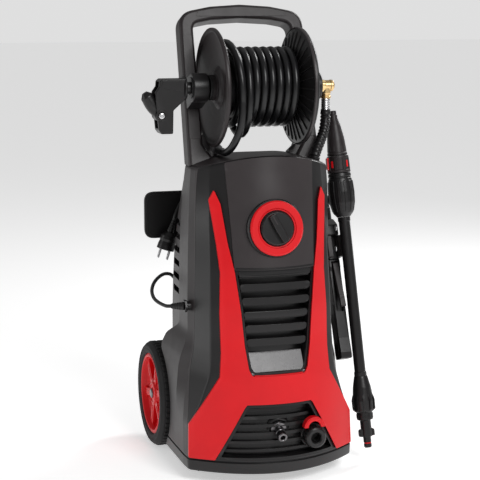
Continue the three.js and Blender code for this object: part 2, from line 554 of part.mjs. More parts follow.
const LANCE_BASE = [
  [0, 0], [7.5, 0], [7.5, 21], [10.5, 21], [10.5, 54], [15.5, 54], [15.5, 70], [21, 72], [22, 92], [18, 118],
  [13, 140], [0, 140],
];
function lanceBase() {
  const lug = placed(box(-15.5, 15.5, 22, 36, -5, 5), lanceMatrix);
  const fins = [0, 1, 2].map((i) => {
    const fin = new THREE.BoxGeometry(46, 26, 5).translate(0, 85, 0).rotateY((Math.PI * i) / 3);
    return solid(fin, lanceMatrix);
  });
  return join(turned(LANCE_BASE, 16, lanceMatrix), lug, ...fins);
}
const LANCE_TUBE = [[0, 140.3], [11, 140.3], [11, 449.7], [0, 449.7]];
const LANCE_GRIP = [
  [0, 450], [13, 450], [20, 458], [25, 478], [26, 498], [25.5, 516], [23, 532], [21.5, 535], [0, 535],
];
const SELECTOR = [[0, 535.3], [21, 535.3], [21.5, 546], [20, 569.7], [0, 569.7]];
const NOZZLE = [[0, 570], [19.5, 570], [18, 596], [11, 632], [6.5, 648], [6, 657], [0, 657]];

const GUN = { half: 11.5, loop: [197, 240], pivot: [12, 184] };
const TRIGGER = { half: 5.5, slot: 7, front: 37, slotFoot: 92 };
const GUN_SIDE = [ // [to the front, along]
  [-16, 0], [15, 0], [16, 12], [14, 40], [15, 120], [15, 172], [17, 180], [17, 193], [15, 196], [16, 240.4],
  [30, 241], [30, 262], [12, 276], [-12, 276], [-22, 262], [-22, 241], [-16, 240.4], [-16, 60], [-17.5, 14],
];
const ALONG_PLANE = new THREE.Matrix4().makeBasis(
  new THREE.Vector3(0, 0, 1), new THREE.Vector3(0, 1, 0), new THREE.Vector3(-1, 0, 0));
// A prism in a long piece's side view, from x0 to x1 across it.
function sidePrism(points, x0, x1, matrix, bevel = 0) {
  const turn = new THREE.Matrix4().multiplyMatrices(move(x1, 0, 0), ALONG_PLANE);
  return placed(solid(prism(points, x1 - x0, bevel), turn), matrix);
}
function gunBody() {
  const shell = sidePrism(GUN_SIDE, -GUN.half, GUN.half, gunMatrix, 2);
  const barrel = placed(rod([0, 270, 0], [0, 325, 0], 11.5, 11.5, 20), gunMatrix);
  const socket = placed(rod([0, 312, 0], [0, 330, 0], 8, 8, 16), gunMatrix);
  const [z, y] = GUN.pivot;
  const slot = placed(box(-TRIGGER.slot, TRIGGER.slot, TRIGGER.slotFoot, y + 7, z - 7, 40), gunMatrix);
  return cut(shell.add(barrel), slot, socket);
}
const GUN_TRIGGER = [
  [8, 188], [14, 190], [20, 187], [22, 174], [27, 150], [34, 112], [35.5, 100], [31, 98], [25, 116],
  [17.5, 148], [10, 178],
];
const gunTrigger = sidePrism(GUN_TRIGGER, -TRIGGER.half, TRIGGER.half, gunMatrix, 1);

const HOLDER = { s0: 374, s1: 447 };
function accessoryHolder() {
  const channel = [
    [-30, -24], [25, -24], [25, 18], [12.6, 18], [12.6, -13], [-14, -13], [-14, 18], [-30, 18],
  ];
  // the extrusion axis onto +Y, the outline's second axis onto -Z
  const upright = new THREE.Matrix4().makeRotationX(-Math.PI / 2);
  const turnedOver = channel.map(([x, z]) => [x, -z]).reverse();
  const clip = placed(solid(prism(turnedOver, HOLDER.s1 - HOLDER.s0, 1.5),
    new THREE.Matrix4().multiplyMatrices(move(0, HOLDER.s0, 0), upright)), lanceMatrix);
  const [l0, l1] = GUN.loop;
  const loop = placed(box(-GUN.half - 5, GUN.half + 5, l0, l1, -22, 34), gunMatrix);
  const pocket = placed(box(-GUN.half - 1.5, GUN.half + 1.5, l0 - 60, l1 + 40, -18.5, 19), gunMatrix);
  const receiver = placed(box(-GUN.half - 1.5, GUN.half + 1.5, l1 + 0.2, l1 + 100, -24, 33), gunMatrix);
  const plate = box(140.3, 154, -84, 8, 402, 462);
  const triggerWay = placed(box(-TRIGGER.slot, TRIGGER.slot, l0 - 10, l1 + 60, 10, TRIGGER.front), gunMatrix);
  const lanceWay = placed(rod([0, 300, 0], [0, 500, 0], 12, 12, 24), lanceMatrix);
  return cut(join(clip, loop, plate), pocket, receiver, triggerWay, lanceWay);
}

// ---------- mains cable ----------
const gland = join(
  rod([GLAND.x + 8, GLAND.y + 2, GLAND.z], [GLAND.x - 4, GLAND.y, GLAND.z], 8, 8, 16),
  rod([GLAND.x - 5.5, GLAND.y, GLAND.z], [GLAND.x - 8.5, GLAND.y, GLAND.z], 11, 9, 16),
  rod([GLAND.x - 7, GLAND.y + 0.5, GLAND.z], [GLAND.x - 30, GLAND.y + 12, GLAND.z - 1], 8, 5, 16),
);
const CABLE_LOOP = [
  [GLAND.x - 30.4, GLAND.y + 12.2, GLAND.z - 1], [GLAND.x - 37, GLAND.y + 15.5, GLAND.z - 1.3],
  [-184, -38, 317.5], [-189, -8, 321], [-186, 26, 328], [-174, 62, 336], [-156, 94, 342], [-137, 118, 344],
  [-119, 135, 338], [-107, 143, 323], [-104.4, 144, 306],
];
const PLUG_TOP = [-113.8, 131, 450];
const plugDown = new THREE.Vector3(-0.3, 0, -0.954);
const plugAt = (t, across = 0) => [
  PLUG_TOP[0] + plugDown.x * t - plugDown.z * across,
  PLUG_TOP[1],
  PLUG_TOP[2] + plugDown.z * t + plugDown.x * across,
];
const CABLE_TAIL = [[-90.2, 144, 489.8], [-98, 141, 480], [-105, 136, 470], plugAt(-11), plugAt(-0.4)];
const plugBody = join(
  rod(plugAt(0), plugAt(26), 4, 8, 16),
  rod(plugAt(26), plugAt(32), 9, 16, 20),
  rod(plugAt(32), plugAt(62), 17, 17.5, 20),
);
const plugPin = (side) => rod(plugAt(62.3, side * 9.5), plugAt(81, side * 9.5), 2.4, 2.2, 12);

function hank() {
  const { x, y0, y1, zTop, zBottom, inner, outer } = HANK;
  const halfTurn = (r, z, from) => Array.from({ length: 13 }, (_, i) => {
    const a = THREE.MathUtils.degToRad(from + (180 * i) / 12);
    return [x + r * Math.cos(a), z + r * Math.sin(a)];
  });
  const round = (r) => [...halfTurn(r, zTop, 0), ...halfTurn(r, zBottom, 180)];
  return cut(prismXZ(round(outer), y0, y1), prismXZ(round(inner), y0 - 5, y1 + 5));
}

// A cable hook: a half-round saddle that carries the turns, with an end plate behind them.
function cableHook(z, up, wallY, plate) {
  const { x, saddleR } = HANK;
  const arc = Array.from({ length: 13 }, (_, i) => {
    const a = (Math.PI * i) / 12 + (up > 0 ? 0 : Math.PI);
    return [x + saddleR * Math.cos(a), z + saddleR * Math.sin(a)];
  });
  const step = up * 12;
  const ends = [[x - up * saddleR, z - step], [x + up * saddleR, z - step]];
  const saddle = prismXZ([...arc, ...ends], wallY, HANK.y1 + 2);
  return join(saddle, prismXZ(roundedRect(...plate), HANK.y1 + GAP * 2, HANK.y1 + 7, 1.5));
}
const upperHook = cableHook(HANK.zTop, 1, 70, [-167, 20, 410, 505, 18]);
const lowerHook = cableHook(HANK.zBottom, -1, 110, [-98, -14, 262, 322, 12]);
const hookOnWall = (hook) => hook.subtract(bodySolid.translate(0, GAP, 0));

// ---------- scene graph ----------
const root = new THREE.Group();
root.position.y = BOX_SHIFT_Y;

function add(name, part, material, parent = root) {
  const mesh = new THREE.Mesh(geometryOf(part), material);
  mesh.name = name;
  parent.add(mesh);
  return mesh;
}

add("rear_shell", rearShell, CHARCOAL);
add("front_shell", frontShell, BLACK);
add("control_panel", controlPanel, PANEL_GREY);
add("trim_frame", trimFrame, RED);
add("louvre_grille", louvreGrille(), BLACK);
add("connection_panel", connectionPanel(), BLACK);
add("base_tray", baseTray(), BLACK);
[["left", -1], ["right", 1]].forEach(([name, side]) => {
  add("foot_" + name, foot(side), RUBBER);
  add("tyre_" + name, turned(TYRE, 28, aboutAxle(side)), RUBBER);
  add("wheel_hub_" + name, hub(side), RED);
  add("reel_bracket_" + name, reelBracket(side), BLACK);
});
add("wheel_axle", rod([-148, WHEEL.y, WHEEL.z], [148, WHEEL.y, WHEEL.z], AXLE_R, AXLE_R, 20), STEEL);

add("handle_frame", handleFrame(), CHARCOAL);
add("reel_drum", turned(DRUM, 24, aboutReel), BLACK);
add("reel_flange_right", turned(FLANGE, 36, aboutReel), BLACK);
add("reel_flange_left", turned(flip(FLANGE), 36, aboutReel), CHARCOAL);
add("reel_axle_right", turned(STUB, 16, aboutReel), BLACK);
add("reel_axle_left", turned(flip(CRANK_STUB), 16, aboutReel), BLACK);
add("crank_arm", crankArm(), BLACK);
add("crank_grip", crankGrip(), BLACK);
add("crank_screw", crankScrew, STEEL);

add("hose_coil", turned(COIL, 32, aboutReel), HOSE_BLACK);
add("hose_tail", tube(HOSE_TAIL, HOSE_D / 2, 10, 12), HOSE_BLACK);
add("hose_connector", connector, BRASS);
add("swivel_elbow", elbow, BRASS);
add("feed_ferrule", ferrule, STEEL);
add("bend_sleeve", tube(SLEEVE, 10, 12, 10), BLACK);
add("pump_hose", tube(PUMP_HOSE, 6, 8, 18), HOSE_BLACK);

add("motor", motor, CAST);
add("pump", pump, CAST);
add("capacitor", capacitor, PANEL_GREY);
add("rotary_switch", switchBox, BLACK);
add("inlet_pipe", tube(INLET_PIPE, 7, 8, 8), BLACK);
add("outlet_fitting", outletFitting, STEEL);
add("inlet_coupling", inletCoupling, BLACK);
add("inlet_clip", inletClip(), RED);
add("dial_ring", turned(DIAL_RING, 32, aboutDial), RED);
add("power_knob", powerKnob(), BLACK);

add("accessory_holder", accessoryHolder(), CHARCOAL);
add("lance_base", lanceBase(), BLACK);
add("lance_tube", turned(LANCE_TUBE, 16, lanceMatrix), BLACK);
add("lance_grip", turned(LANCE_GRIP, 20, lanceMatrix), BLACK);
add("lance_selector", turned(SELECTOR, 20, lanceMatrix), CHARCOAL);
add("lance_nozzle", turned(NOZZLE, 20, lanceMatrix), CHARCOAL);
add("gun_body", gunBody(), BLACK);
add("gun_trigger", gunTrigger, CHARCOAL);

add("cable_gland", gland, BLACK);
add("cable_loop", tube(CABLE_LOOP, CABLE_D / 2, 8, 20), BLACK);
add("cable_hank", hank(), BLACK);
add("cable_tail", tube(CABLE_TAIL, CABLE_D / 2, 8, 6), BLACK);
add("plug_body", plugBody, BLACK);
add("plug_pin_left", plugPin(-1), STEEL);
add("plug_pin_right", plugPin(1), STEEL);
add("cable_hook_upper", hookOnWall(upperHook), BLACK);
add("cable_hook_lower", hookOnWall(lowerHook), BLACK);

export default root;
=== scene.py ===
"""Looks of the upright pressure washer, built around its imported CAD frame. Design lengths are millimetres."""
import json
import math

import bmesh
import bpy
from mathutils import Matrix, Vector


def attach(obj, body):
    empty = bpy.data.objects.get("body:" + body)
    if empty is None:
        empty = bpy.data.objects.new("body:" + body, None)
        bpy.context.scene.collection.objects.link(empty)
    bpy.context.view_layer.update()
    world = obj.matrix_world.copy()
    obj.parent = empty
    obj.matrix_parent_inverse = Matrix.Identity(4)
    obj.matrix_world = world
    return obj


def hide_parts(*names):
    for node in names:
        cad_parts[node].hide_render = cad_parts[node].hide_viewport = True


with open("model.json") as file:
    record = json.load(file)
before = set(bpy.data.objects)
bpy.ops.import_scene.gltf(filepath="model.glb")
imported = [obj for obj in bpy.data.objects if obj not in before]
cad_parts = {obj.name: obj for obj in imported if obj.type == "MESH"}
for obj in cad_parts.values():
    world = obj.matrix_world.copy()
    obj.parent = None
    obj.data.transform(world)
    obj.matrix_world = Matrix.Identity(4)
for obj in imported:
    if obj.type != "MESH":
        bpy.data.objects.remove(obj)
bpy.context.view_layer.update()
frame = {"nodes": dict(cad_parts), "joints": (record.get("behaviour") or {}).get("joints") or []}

MM = 0.001
MERGE = 0.00001  # points closer than this are one
SIDES = ((-1, "left"), (1, "right"))
JOINTS = {joint["name"]: joint for joint in frame["joints"]}
SHIFT = Vector((0, JOINTS["reel_spin"]["pos_m"][1] / MM + 47, 0))  # design origin to the row's origin


def row(point):
    """A design point as a point of the row frame, in metres."""
    return (Vector(point) + SHIFT) * MM


# ---------- camera, light and floor ----------
CAMERA_AT = (-818.2, -2570.8, 877.3)
CAMERA_AIM = (0, 49.95, 416.81)
CAMERA_LENS = 105.5
SENSOR = 36
WORLD_LIGHT, WORLD_SHOWN = 0.26, 0.74  # how bright the world is as light, and how bright it looks
FLOOR_GLOW = 0.46  # keeps the floor pale under soft light
FLOOR_REACH = 30
WHITE = (1, 1, 1, 1)


def with_inputs(node, values):
    for name, value in values.items():
        node.inputs[name].default_value = value
    return node


def aim_at(made, target):
    """Turns a camera or a lamp to a point of the row frame."""
    made.rotation_euler = (Vector(target) - made.location).to_track_quat("-Z", "Y").to_euler()


def linked(name, data):
    """A new object in the scene that holds this data."""
    made = bpy.data.objects.new(name, data)
    bpy.context.scene.collection.objects.link(made)
    return made


def make_camera():
    camera = linked("camera", bpy.data.cameras.new("camera"))
    camera.data.lens = CAMERA_LENS
    camera.data.sensor_width = SENSOR
    camera.location = row(CAMERA_AT)
    aim_at(camera, row(CAMERA_AIM))
    bpy.context.scene.camera = camera


def area_light(name, at, aim, size, watts):
    light = bpy.data.lights.new(name, "AREA")
    light.shape = "RECTANGLE"
    light.size, light.size_y = size
    light.energy = watts
    lamp = linked(name, light)
    lamp.location = at
    aim_at(lamp, aim)


def make_studio():
    world = bpy.data.worlds.new("studio")
    bpy.context.scene.world = world
    world.use_nodes = True
    tree = world.node_tree
    background = with_inputs(tree.nodes["Background"], {"Color": WHITE})
    rays = tree.nodes.new("ShaderNodeLightPath")
    strength = with_inputs(tree.nodes.new("ShaderNodeMapRange"),
                           {"To Min": WORLD_LIGHT, "To Max": WORLD_SHOWN})
    tree.links.new(rays.outputs["Is Camera Ray"], strength.inputs["Value"])
    tree.links.new(strength.outputs["Result"], background.inputs["Strength"])
    middle = (0, 0, 0.45)
    area_light("key", (0.5, -2.4, 2.2), middle, (1.2, 1.4), 50)
    area_light("side", (-2.4, 0.4, 0.9), middle, (0.4, 1.6), 7)
    area_light("rim", (1.7, 1.0, 1.9), middle, (0.5, 1.4), 28)
    floor = bpy.data.meshes.new("floor")
    corners = [(x * FLOOR_REACH, y * FLOOR_REACH, 0) for x, y in ((-1, -1), (1, -1), (1, 1), (-1, 1))]
    floor.from_pydata(corners, [], [(0, 1, 2, 3)])
    plane = linked("floor", floor)
    paint = bpy.data.materials.new("floor")
    paint.use_nodes = True
    with_inputs(paint.node_tree.nodes["Principled BSDF"], {
        "Base Color": (0.95, 0.95, 0.95, 1), "Roughness": 0.9, "Emission Color": WHITE,
        "Emission Strength": FLOOR_GLOW,
    })
    floor.materials.append(paint)


make_camera()
make_studio()
bpy.context.scene.view_settings.view_transform = "Standard"


# ---------- materials ----------
def shader(name, colour, roughness, grain, metallic=0.0, mottle=0.08, patches=14, wear=0.0, coat=0.0,
           specular=0.5):
    """A surface with mottled colour and roughness, a fine moulded or machined grain, and paler worn edges."""
    material = bpy.data.materials.new(name)
    material.use_nodes = True
    tree = material.node_tree
    surface = with_inputs(tree.nodes["Principled BSDF"], {
        "Metallic": metallic, "Specular IOR Level": specular, "Coat Weight": coat, "Coat Roughness": 0.25,
    })

    def node(kind, **inputs):
        return with_inputs(tree.nodes.new(kind),
                           {key.replace("_", " "): value for key, value in inputs.items()})

    def wire(source, socket, target, into):
        tree.links.new(source.outputs[socket], target.inputs[into])

    place = node("ShaderNodeTexCoord")
    clouds = node("ShaderNodeTexNoise", Scale=patches, Detail=5.0, Roughness=0.6)
    wire(place, "Object", clouds, "Vector")
    shade = node("ShaderNodeValToRGB")
    dark = [max(0.0, c * (1 - mottle)) for c in colour]
    light = [min(1.0, c * (1 + mottle) + 0.004 * mottle) for c in colour]
    for stop, at, tone in zip(shade.color_ramp.elements, (0.3, 0.7), (dark, light)):
        stop.position = at
        stop.color = (*tone, 1)
    wire(clouds, "Fac", shade, "Fac")
    last = shade
    if wear:
        edges = node("ShaderNodeNewGeometry")
        spread = node("ShaderNodeMapRange", From_Min=0.53, From_Max=0.62, To_Max=wear)
        wire(edges, "Pointiness", spread, "Value")
        worn = node("ShaderNodeMixRGB", Color2=(*[min(1.0, c * 1.6 + 0.05) for c in colour], 1))
        wire(spread, "Result", worn, "Fac")
        wire(shade, "Color", worn, "Color1")
        last = worn
    wire(last, "Color", surface, "Base Color")
    smears = node("ShaderNodeTexNoise", Scale=patches * 3.1, Detail=6.0, Roughness=0.65)
    wire(place, "Object", smears, "Vector")
    polish = node("ShaderNodeMapRange", To_Min=max(0.05, roughness - 0.06), To_Max=min(1.0, roughness + 0.07))
    wire(smears, "Fac", polish, "Value")
    wire(polish, "Result", surface, "Roughness")
    scale, depth = grain
    pits = node("ShaderNodeTexNoise", Scale=scale, Detail=3.0, Roughness=0.7)
    wire(place, "Object", pits, "Vector")
    bump = node("ShaderNodeBump", Strength=0.55, Distance=depth)
    wire(pits, "Fac", bump, "Height")
    wire(bump, "Normal", surface, "Normal")
    return material


CHARCOAL = shader("charcoal_moulding", (0.020, 0.0160, 0.0168), 0.40, wear=0.3, grain=(900, 0.00006),
                  specular=0.34)
BLACK = shader("black_moulding", (0.0075, 0.0068, 0.0072), 0.34, wear=0.3, grain=(1100, 0.00005),
               specular=0.4)
PANEL = shader("panel_moulding", (0.031, 0.0255, 0.0265), 0.34, wear=0.3, grain=(1300, 0.00004),
               specular=0.45)
# Lighter than the panel moulding, for the louvre ledge: the satin gloss is its finish, and the lighter grey is
# painted light on its up-facing slope.
SATIN_PAINTED_LIGHT = shader("satin_moulding_painted_light", (0.055, 0.052, 0.054), 0.27, wear=0.3, grain=(1300, 0.00003), coat=0.15,
               specular=0.6)
RED = shader("red_moulding", (0.66, 0.0045, 0.009), 0.38, wear=0.06, mottle=0.05, grain=(1500, 0.00003),
             specular=0.32)
RUBBER = shader("tyre_rubber", (0.018, 0.0175, 0.018), 0.72, mottle=0.2, patches=30, grain=(700, 0.0001),
                specular=0.3)
HOSE = shader("hose_cover", (0.0055, 0.0055, 0.006), 0.3, mottle=0.15, patches=26, grain=(1600, 0.00003),
              specular=0.4)
CABLE = shader("cable_sheath", (0.012, 0.012, 0.0125), 0.42, mottle=0.15, patches=40, grain=(1800, 0.00003))
BRASS = shader("forged_brass", (0.80, 0.56, 0.27), 0.27, metallic=1.0, mottle=0.12, patches=60, wear=0.3,
               grain=(500, 0.00005))
STEEL = shader("plated_steel", (0.60, 0.60, 0.61), 0.28, metallic=1.0, patches=50, grain=(900, 0.00002))
DARK_STEEL = shader("dark_steel", (0.16, 0.155, 0.16), 0.30, metallic=1.0, mottle=0.15, patches=60,
                    grain=(900, 0.00003))
CAST = shader("die_casting", (0.38, 0.38, 0.39), 0.55, metallic=0.9, mottle=0.12, patches=40,
              grain=(400, 0.0002))


# ---------- making pieces ----------
def object_of(name, points, faces):
    """An object whose mesh has these design points, in the row frame."""
    mesh = bpy.data.meshes.new(name)
    mesh.from_pydata([row(p) for p in points], [], faces)
    return linked(name, mesh)


def from_bmesh(bm, name):
    mesh = bpy.data.meshes.new(name)
    bm.to_mesh(mesh)
    bm.free()
    return linked(name, mesh)


def tidy(made):
    """Merges doubled points, drops loose edges and turns every face outwards."""
    bm = bmesh.new()
    bm.from_mesh(made.data)
    bmesh.ops.remove_doubles(bm, verts=bm.verts, dist=MERGE)
    bmesh.ops.dissolve_degenerate(bm, edges=bm.edges, dist=MERGE)
    bmesh.ops.recalc_face_normals(bm, faces=bm.faces)
    bm.to_mesh(made.data)
    bm.free()
    return made


def apply(made):
    """Turns the modifiers into the mesh itself."""
    evaluated = made.evaluated_get(bpy.context.evaluated_depsgraph_get())
    mesh = bpy.data.meshes.new_from_object(evaluated)
    made.modifiers.clear()
    old, made.data = made.data, mesh
    bpy.data.meshes.remove(old)
    return made


def bevelled(made, width, segments=3, angle=30):
    if width:
        bevel = made.modifiers.new("edges", "BEVEL")
        bevel.width = width * MM
        bevel.segments = segments
        bevel.limit_method = "ANGLE"
        bevel.angle_limit = math.radians(angle)
        bevel.miter_outer = "MITER_ARC"
        apply(made)
    return made


def cut(made, *tools):
    """Cuts each tool's solid out of the piece, and deletes the tools."""
    for tool in tools:
        boolean = made.modifiers.new("cut", "BOOLEAN")
        boolean.operation = "DIFFERENCE"
        boolean.solver = "EXACT"
        boolean.object = tool
        apply(made)
        bpy.data.objects.remove(tool)
    return made


def joined(name, pieces):
    """One object holding the meshes of several."""
    bm = bmesh.new()
    for piece in pieces:
        bm.from_mesh(piece.data)
        bpy.data.objects.remove(piece)
    return from_bmesh(bm, name)


def dress(made, name, material, body, *nodes, smooth=34):
    """Finishes a piece, or a list of them as one: name, material, shading, body and the nodes it replaces."""
    if isinstance(made, list):
        made = joined(name, made)
    made.name = name
    made.data.name = name
    made.data.materials.clear()
    made.data.materials.append(material)
    made.data.shade_smooth()
    made.data.set_sharp_from_angle(angle=math.radians(smooth))
    weighted = made.modifiers.new("normals", "WEIGHTED_NORMAL")
    weighted.keep_sharp = True
    weighted.weight = 60
    apply(made)
    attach(made, body)
    if nodes:
        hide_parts(*nodes)
    return made


def rounded(points, closed=True, steps=4):
    """An outline whose corners [a, b, radius] are arcs; a corner without a radius stays sharp."""
    result = []
    count = len(points)
    for i, point in enumerate(points):
        here = Vector(point[:2])
        radius = point[2] if len(point) > 2 else 0
        if not radius or (not closed and i in (0, count - 1)):
            result.append(here)
            continue
        before = Vector(points[i - 1][:2]) - here
        after = Vector(points[(i + 1) % count][:2]) - here
        half = before.angle(after, math.pi) / 2
        reach = min(radius / max(math.tan(half), 1e-6), 0.48 * before.length, 0.48 * after.length)
        start = here + before.normalized() * reach
        end = here + after.normalized() * reach
        for k in range(steps + 1):
            t = k / steps
            result.append(start * (1 - t) ** 2 + here * 2 * t * (1 - t) + end * t * t)
    return [(p.x, p.y) for p in result]


def box(x0, y0, x1, y1, *radius):
    """The outline of a rectangle, with rounded corners if a radius is given."""
    return [(x0, y0, *radius), (x1, y0, *radius), (x1, y1, *radius), (x0, y1, *radius)]


def flipped(line):
    """The mirror image of part of an outline, from its other end."""
    return [(-p[0], *p[1:]) for p in reversed(line)]


def both_sides(half):
    return [*half, *flipped(half)]


def loft(name, rings, caps=(0, -1)):
    """A skin over rings with equally many points, closed at the rings in `caps`."""
    n = len(rings[0])
    faces = [(k * n + i, k * n + (i + 1) % n, (k + 1) * n + (i + 1) % n, (k + 1) * n + i)
             for k in range(len(rings) - 1) for i in range(n)]
    faces += [tuple(cap % len(rings) * n + i for i in range(n)) for cap in caps]
    return object_of(name, [p for ring in rings for p in ring], faces)


def ring_at(centre, across, up, radius):
    turns = [math.tau * j / 40 for j in range(40)]
    return [centre + (across * math.cos(a) + up * math.sin(a)) * radius for a in turns]


def turned(profile, place, steps=72):
    """A turned piece: the profile [radius, height, corner radius] goes round the local Y axis of `place`."""
    line = rounded(profile, closed=False)
    points, faces = [], []
    for i in range(steps):
        a = math.tau * i / steps
        points += [place @ Vector((r * math.cos(a), h, -r * math.sin(a))) for r, h in line]
    n = len(line)
    for i in range(steps):
        j = (i + 1) % steps
        faces += [(i * n + k, i * n + k + 1, j * n + k + 1, j * n + k) for k in range(n - 1)]
    return tidy(object_of("turned", points, faces))


def collar_of(inner, outer, low, high, *edges):
    """The closed profile of a ring; `edges` are the radii of its outer corners."""
    bottom, top = edges or (0, 0)
    return [[inner, low], [outer, low, bottom], [outer, high, top], [inner, high], [inner, low]]


def tilted(angle, axis, at):
    """A frame turned about one axis, with its origin at a design point."""
    place = Matrix.Rotation(angle, 4, axis)
    place.translation = at
    return place


def along(foot, top):
    """Frame of a long piece: local +Y from foot to top, +X outwards, +Z to the front."""
    foot, top = Vector(foot), Vector(top)
    axis = (top - foot).normalized()
    out = (Vector((1, 0, 0)) - axis * axis.x).normalized()
    if abs(axis.x) > 0.99:
        out = (Vector((0, 1, 0)) - axis * axis.y).normalized()
    front = out.cross(axis)
    place = Matrix((out, axis, front)).transposed().to_4x4()
    place.translation = foot
    return place


def rod(a, b, r0, r1=None, steps=48, edge=0.0):
    """A cylinder or cone between two points, with rounded rims."""
    length = (Vector(b) - Vector(a)).length
    r1 = r0 if r1 is None else r1
    return turned([[0, 0], [r0, 0, edge], [r1, length, edge], [0, length]], along(a, b), steps)


def filled(rings, height=0):
    """A flat sheet inside the first outline and outside the others."""
    bm = bmesh.new()
    for ring in rings:
        points = [bm.verts.new((*p, height)) for p in rounded(ring)]
        for i, point in enumerate(points):
            bm.edges.new((points[i - 1], point))
    bmesh.ops.triangle_fill(bm, use_beauty=True, use_dissolve=False, edges=bm.edges)
    bmesh.ops.dissolve_limit(bm, angle_limit=0.01, verts=bm.verts, edges=bm.edges)
    return bm


def plate(outline, low, high, place=Matrix.Identity(4), edge=0.0, holes=(), segments=3, angle=30):
    """A flat piece: outline in local X and Y, with holes, between two local heights."""
    bm = filled([outline, *holes], low)
    grown = bmesh.ops.extrude_face_region(bm, geom=bm.faces[:])
    for v in grown["geom"]:
        if isinstance(v, bmesh.types.BMVert):
            v.co.z = high
    bmesh.ops.recalc_face_normals(bm, faces=bm.faces)
    for v in bm.verts:
        v.co = row(place @ v.co)
    return bevelled(tidy(from_bmesh(bm, "plate")), edge, segments, angle)


TO_FRONT = Matrix.Rotation(math.pi / 2, 4, "X")  # local X, Y, Z to X, Z, -Y
TO_SIDE = Matrix(((0, 0, 1, 0), (1, 0, 0, 0), (0, 1, 0, 0), (0, 0, 0, 1)))  # local X, Y, Z to Y, Z, X


def block(low, high, edge=0.0, place=Matrix.Identity(4)):
    return plate(box(*low[:2], *high[:2]), low[2], high[2], place, edge)


def around(place, count, start=0.0):
    return [place @ Matrix.Rotation(start + math.tau * i / count, 4, "Y") for i in range(count)]


def fins(place, count, outline, half, edge, start=0.0, steps=4):
    """Equal plates stood round the local Y axis."""
    shape = rounded(outline, steps=steps)
    return [plate(shape, -half, half, turn, edge) for turn in around(place, count, start)]


def knurls(place, count, reach, low, high, radius, steps, edge):
    """Thin rods that stand in a ring round the local Y axis."""
    made = []
    for i in range(count):
        a = math.tau * i / count
        foot, top = (place @ Vector((reach * math.cos(a), h, reach * math.sin(a))) for h in (low, high))
        made.append(rod(foot, top, radius, radius, steps, edge))
    return made


def smooth_line(points, spacing=4.0):
    """Points along a centripetal Catmull-Rom curve through the given ones."""
    pts = [Vector(p) for p in points]
    pts = [pts[0] * 2 - pts[1], *pts, pts[-1] * 2 - pts[-2]]
    line = []
    for p0, p1, p2, p3 in zip(pts, pts[1:], pts[2:], pts[3:]):
        t1 = (p1 - p0).length ** 0.5
        t2 = t1 + (p2 - p1).length ** 0.5
        t3 = t2 + (p3 - p2).length ** 0.5
        steps = max(2, round((p2 - p1).length / spacing))
        for k in range(steps):
            t = t1 + (t2 - t1) * k / steps
            a1 = p0.lerp(p1, t / t1)
            a2 = p1.lerp(p2, (t - t1) / (t2 - t1))
            a3 = p2.lerp(p3, (t - t2) / (t3 - t2))
            b1 = a1.lerp(a2, t / t2)
            b2 = a2.lerp(a3, (t - t1) / (t3 - t1))
            line.append(b1.lerp(b2, (t - t1) / (t2 - t1)))
    return [*line, pts[-2]]


def tube_curve(name, line, radius, material, body, *nodes):
    """A cord as one open curve with a round section."""
    data = bpy.data.curves.new(name, "CURVE")
    data.dimensions = "3D"
    data.bevel_depth = radius * MM
    data.bevel_resolution = 5
    data.use_fill_caps = True
    spline = data.splines.new("POLY")
    spline.points.add(len(line) - 1)
    for point, place in zip(spline.points, line):
        point.co = (*row(place), 1)
    spline.use_smooth = True
    made = linked(name, data)
    data.materials.append(material)
    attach(made, body)
    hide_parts(*nodes)
    return made


def length_of(line):
    return sum((b - a).length for a, b in zip(line, line[1:])) * MM


# ---------- the body's form ----------
# Height, then plan sizes: front middle, bow of the front, half width at the nose, seam corner, widest
# crease, flank, and rear corner. The fender's back edge follows the wheel arch.
KEYS = ("front", "bow", "nose", "corner_x", "corner_y", "crease_x", "crease_y", "flank_x", "flank_y",
        "inner_x", "rear_x", "rear_y", "back")
BODY = {
    22: (-213, 0.0027, 160, 162, -118, 162, -66, 162, 50, 125, 122, 112, 124),
    42: (-214, 0.0027, 161, 163, -118, 163, -66, 163, 50, 125, 122, 112, 124),
    106: (-206, 0.0026, 160, 163, -112, 163, -66, 163, 50, 125, 122, 116, 126),
    151: (-199, 0.0024, 140, 156, -100, 163, -66, 163, 50, 125, 122, 118, 128),
    200: (-194, 0.0024, 124, 143, -92, 159, -66, 163, 50, 125, 123, 120, 130),
    221: (-192, 0.0025, 121, 139, -92, 154, -66, 163, 50, 126, 124, 120, 130),
    246: (-190, 0.0026, 120, 135, -92, 145, -66, 157, 35, 128, 124, 118, 130),
    270: (-188, 0.0027, 119, 134, -92, 140, -66, 141, -5, 131, 124, 118, 128),
    330: (-185, 0.0029, 118, 133, -92, 140, -66, 138, 5, 131, 124, 112, 122),
    400: (-178, 0.0031, 116, 132, -92, 139, -66, 137, 5, 131, 124, 98, 106),
    475: (-168, 0.0034, 113, 131, -92, 137, -66, 134, 2, 131, 122, 72, 80),
    540: (-158, 0.0036, 110, 130, -91, 134, -64, 131, -6, 129, 120, 36, 42),
    575: (-152, 0.0036, 108, 128, -90, 131, -62, 129, -15, 127, 118, 14, 20),
    610: (-147, 0.0036, 104, 121, -90, 125, -60, 123, -22, 120, 111, -4, 2),
}
LEVELS = sorted(BODY)
SHELL_BOTTOM = 46
CROWN = (604, 24, 127)  # height on the centre line, and how much lower it is at this half width
WALL = 3.0
SEAM_GAP = 0.35  # half of the visible seam
ARCH = 116
WHEEL = {"y": 100, "z": 105}
EASING = 5  # how far a change of slope is eased above and below a level


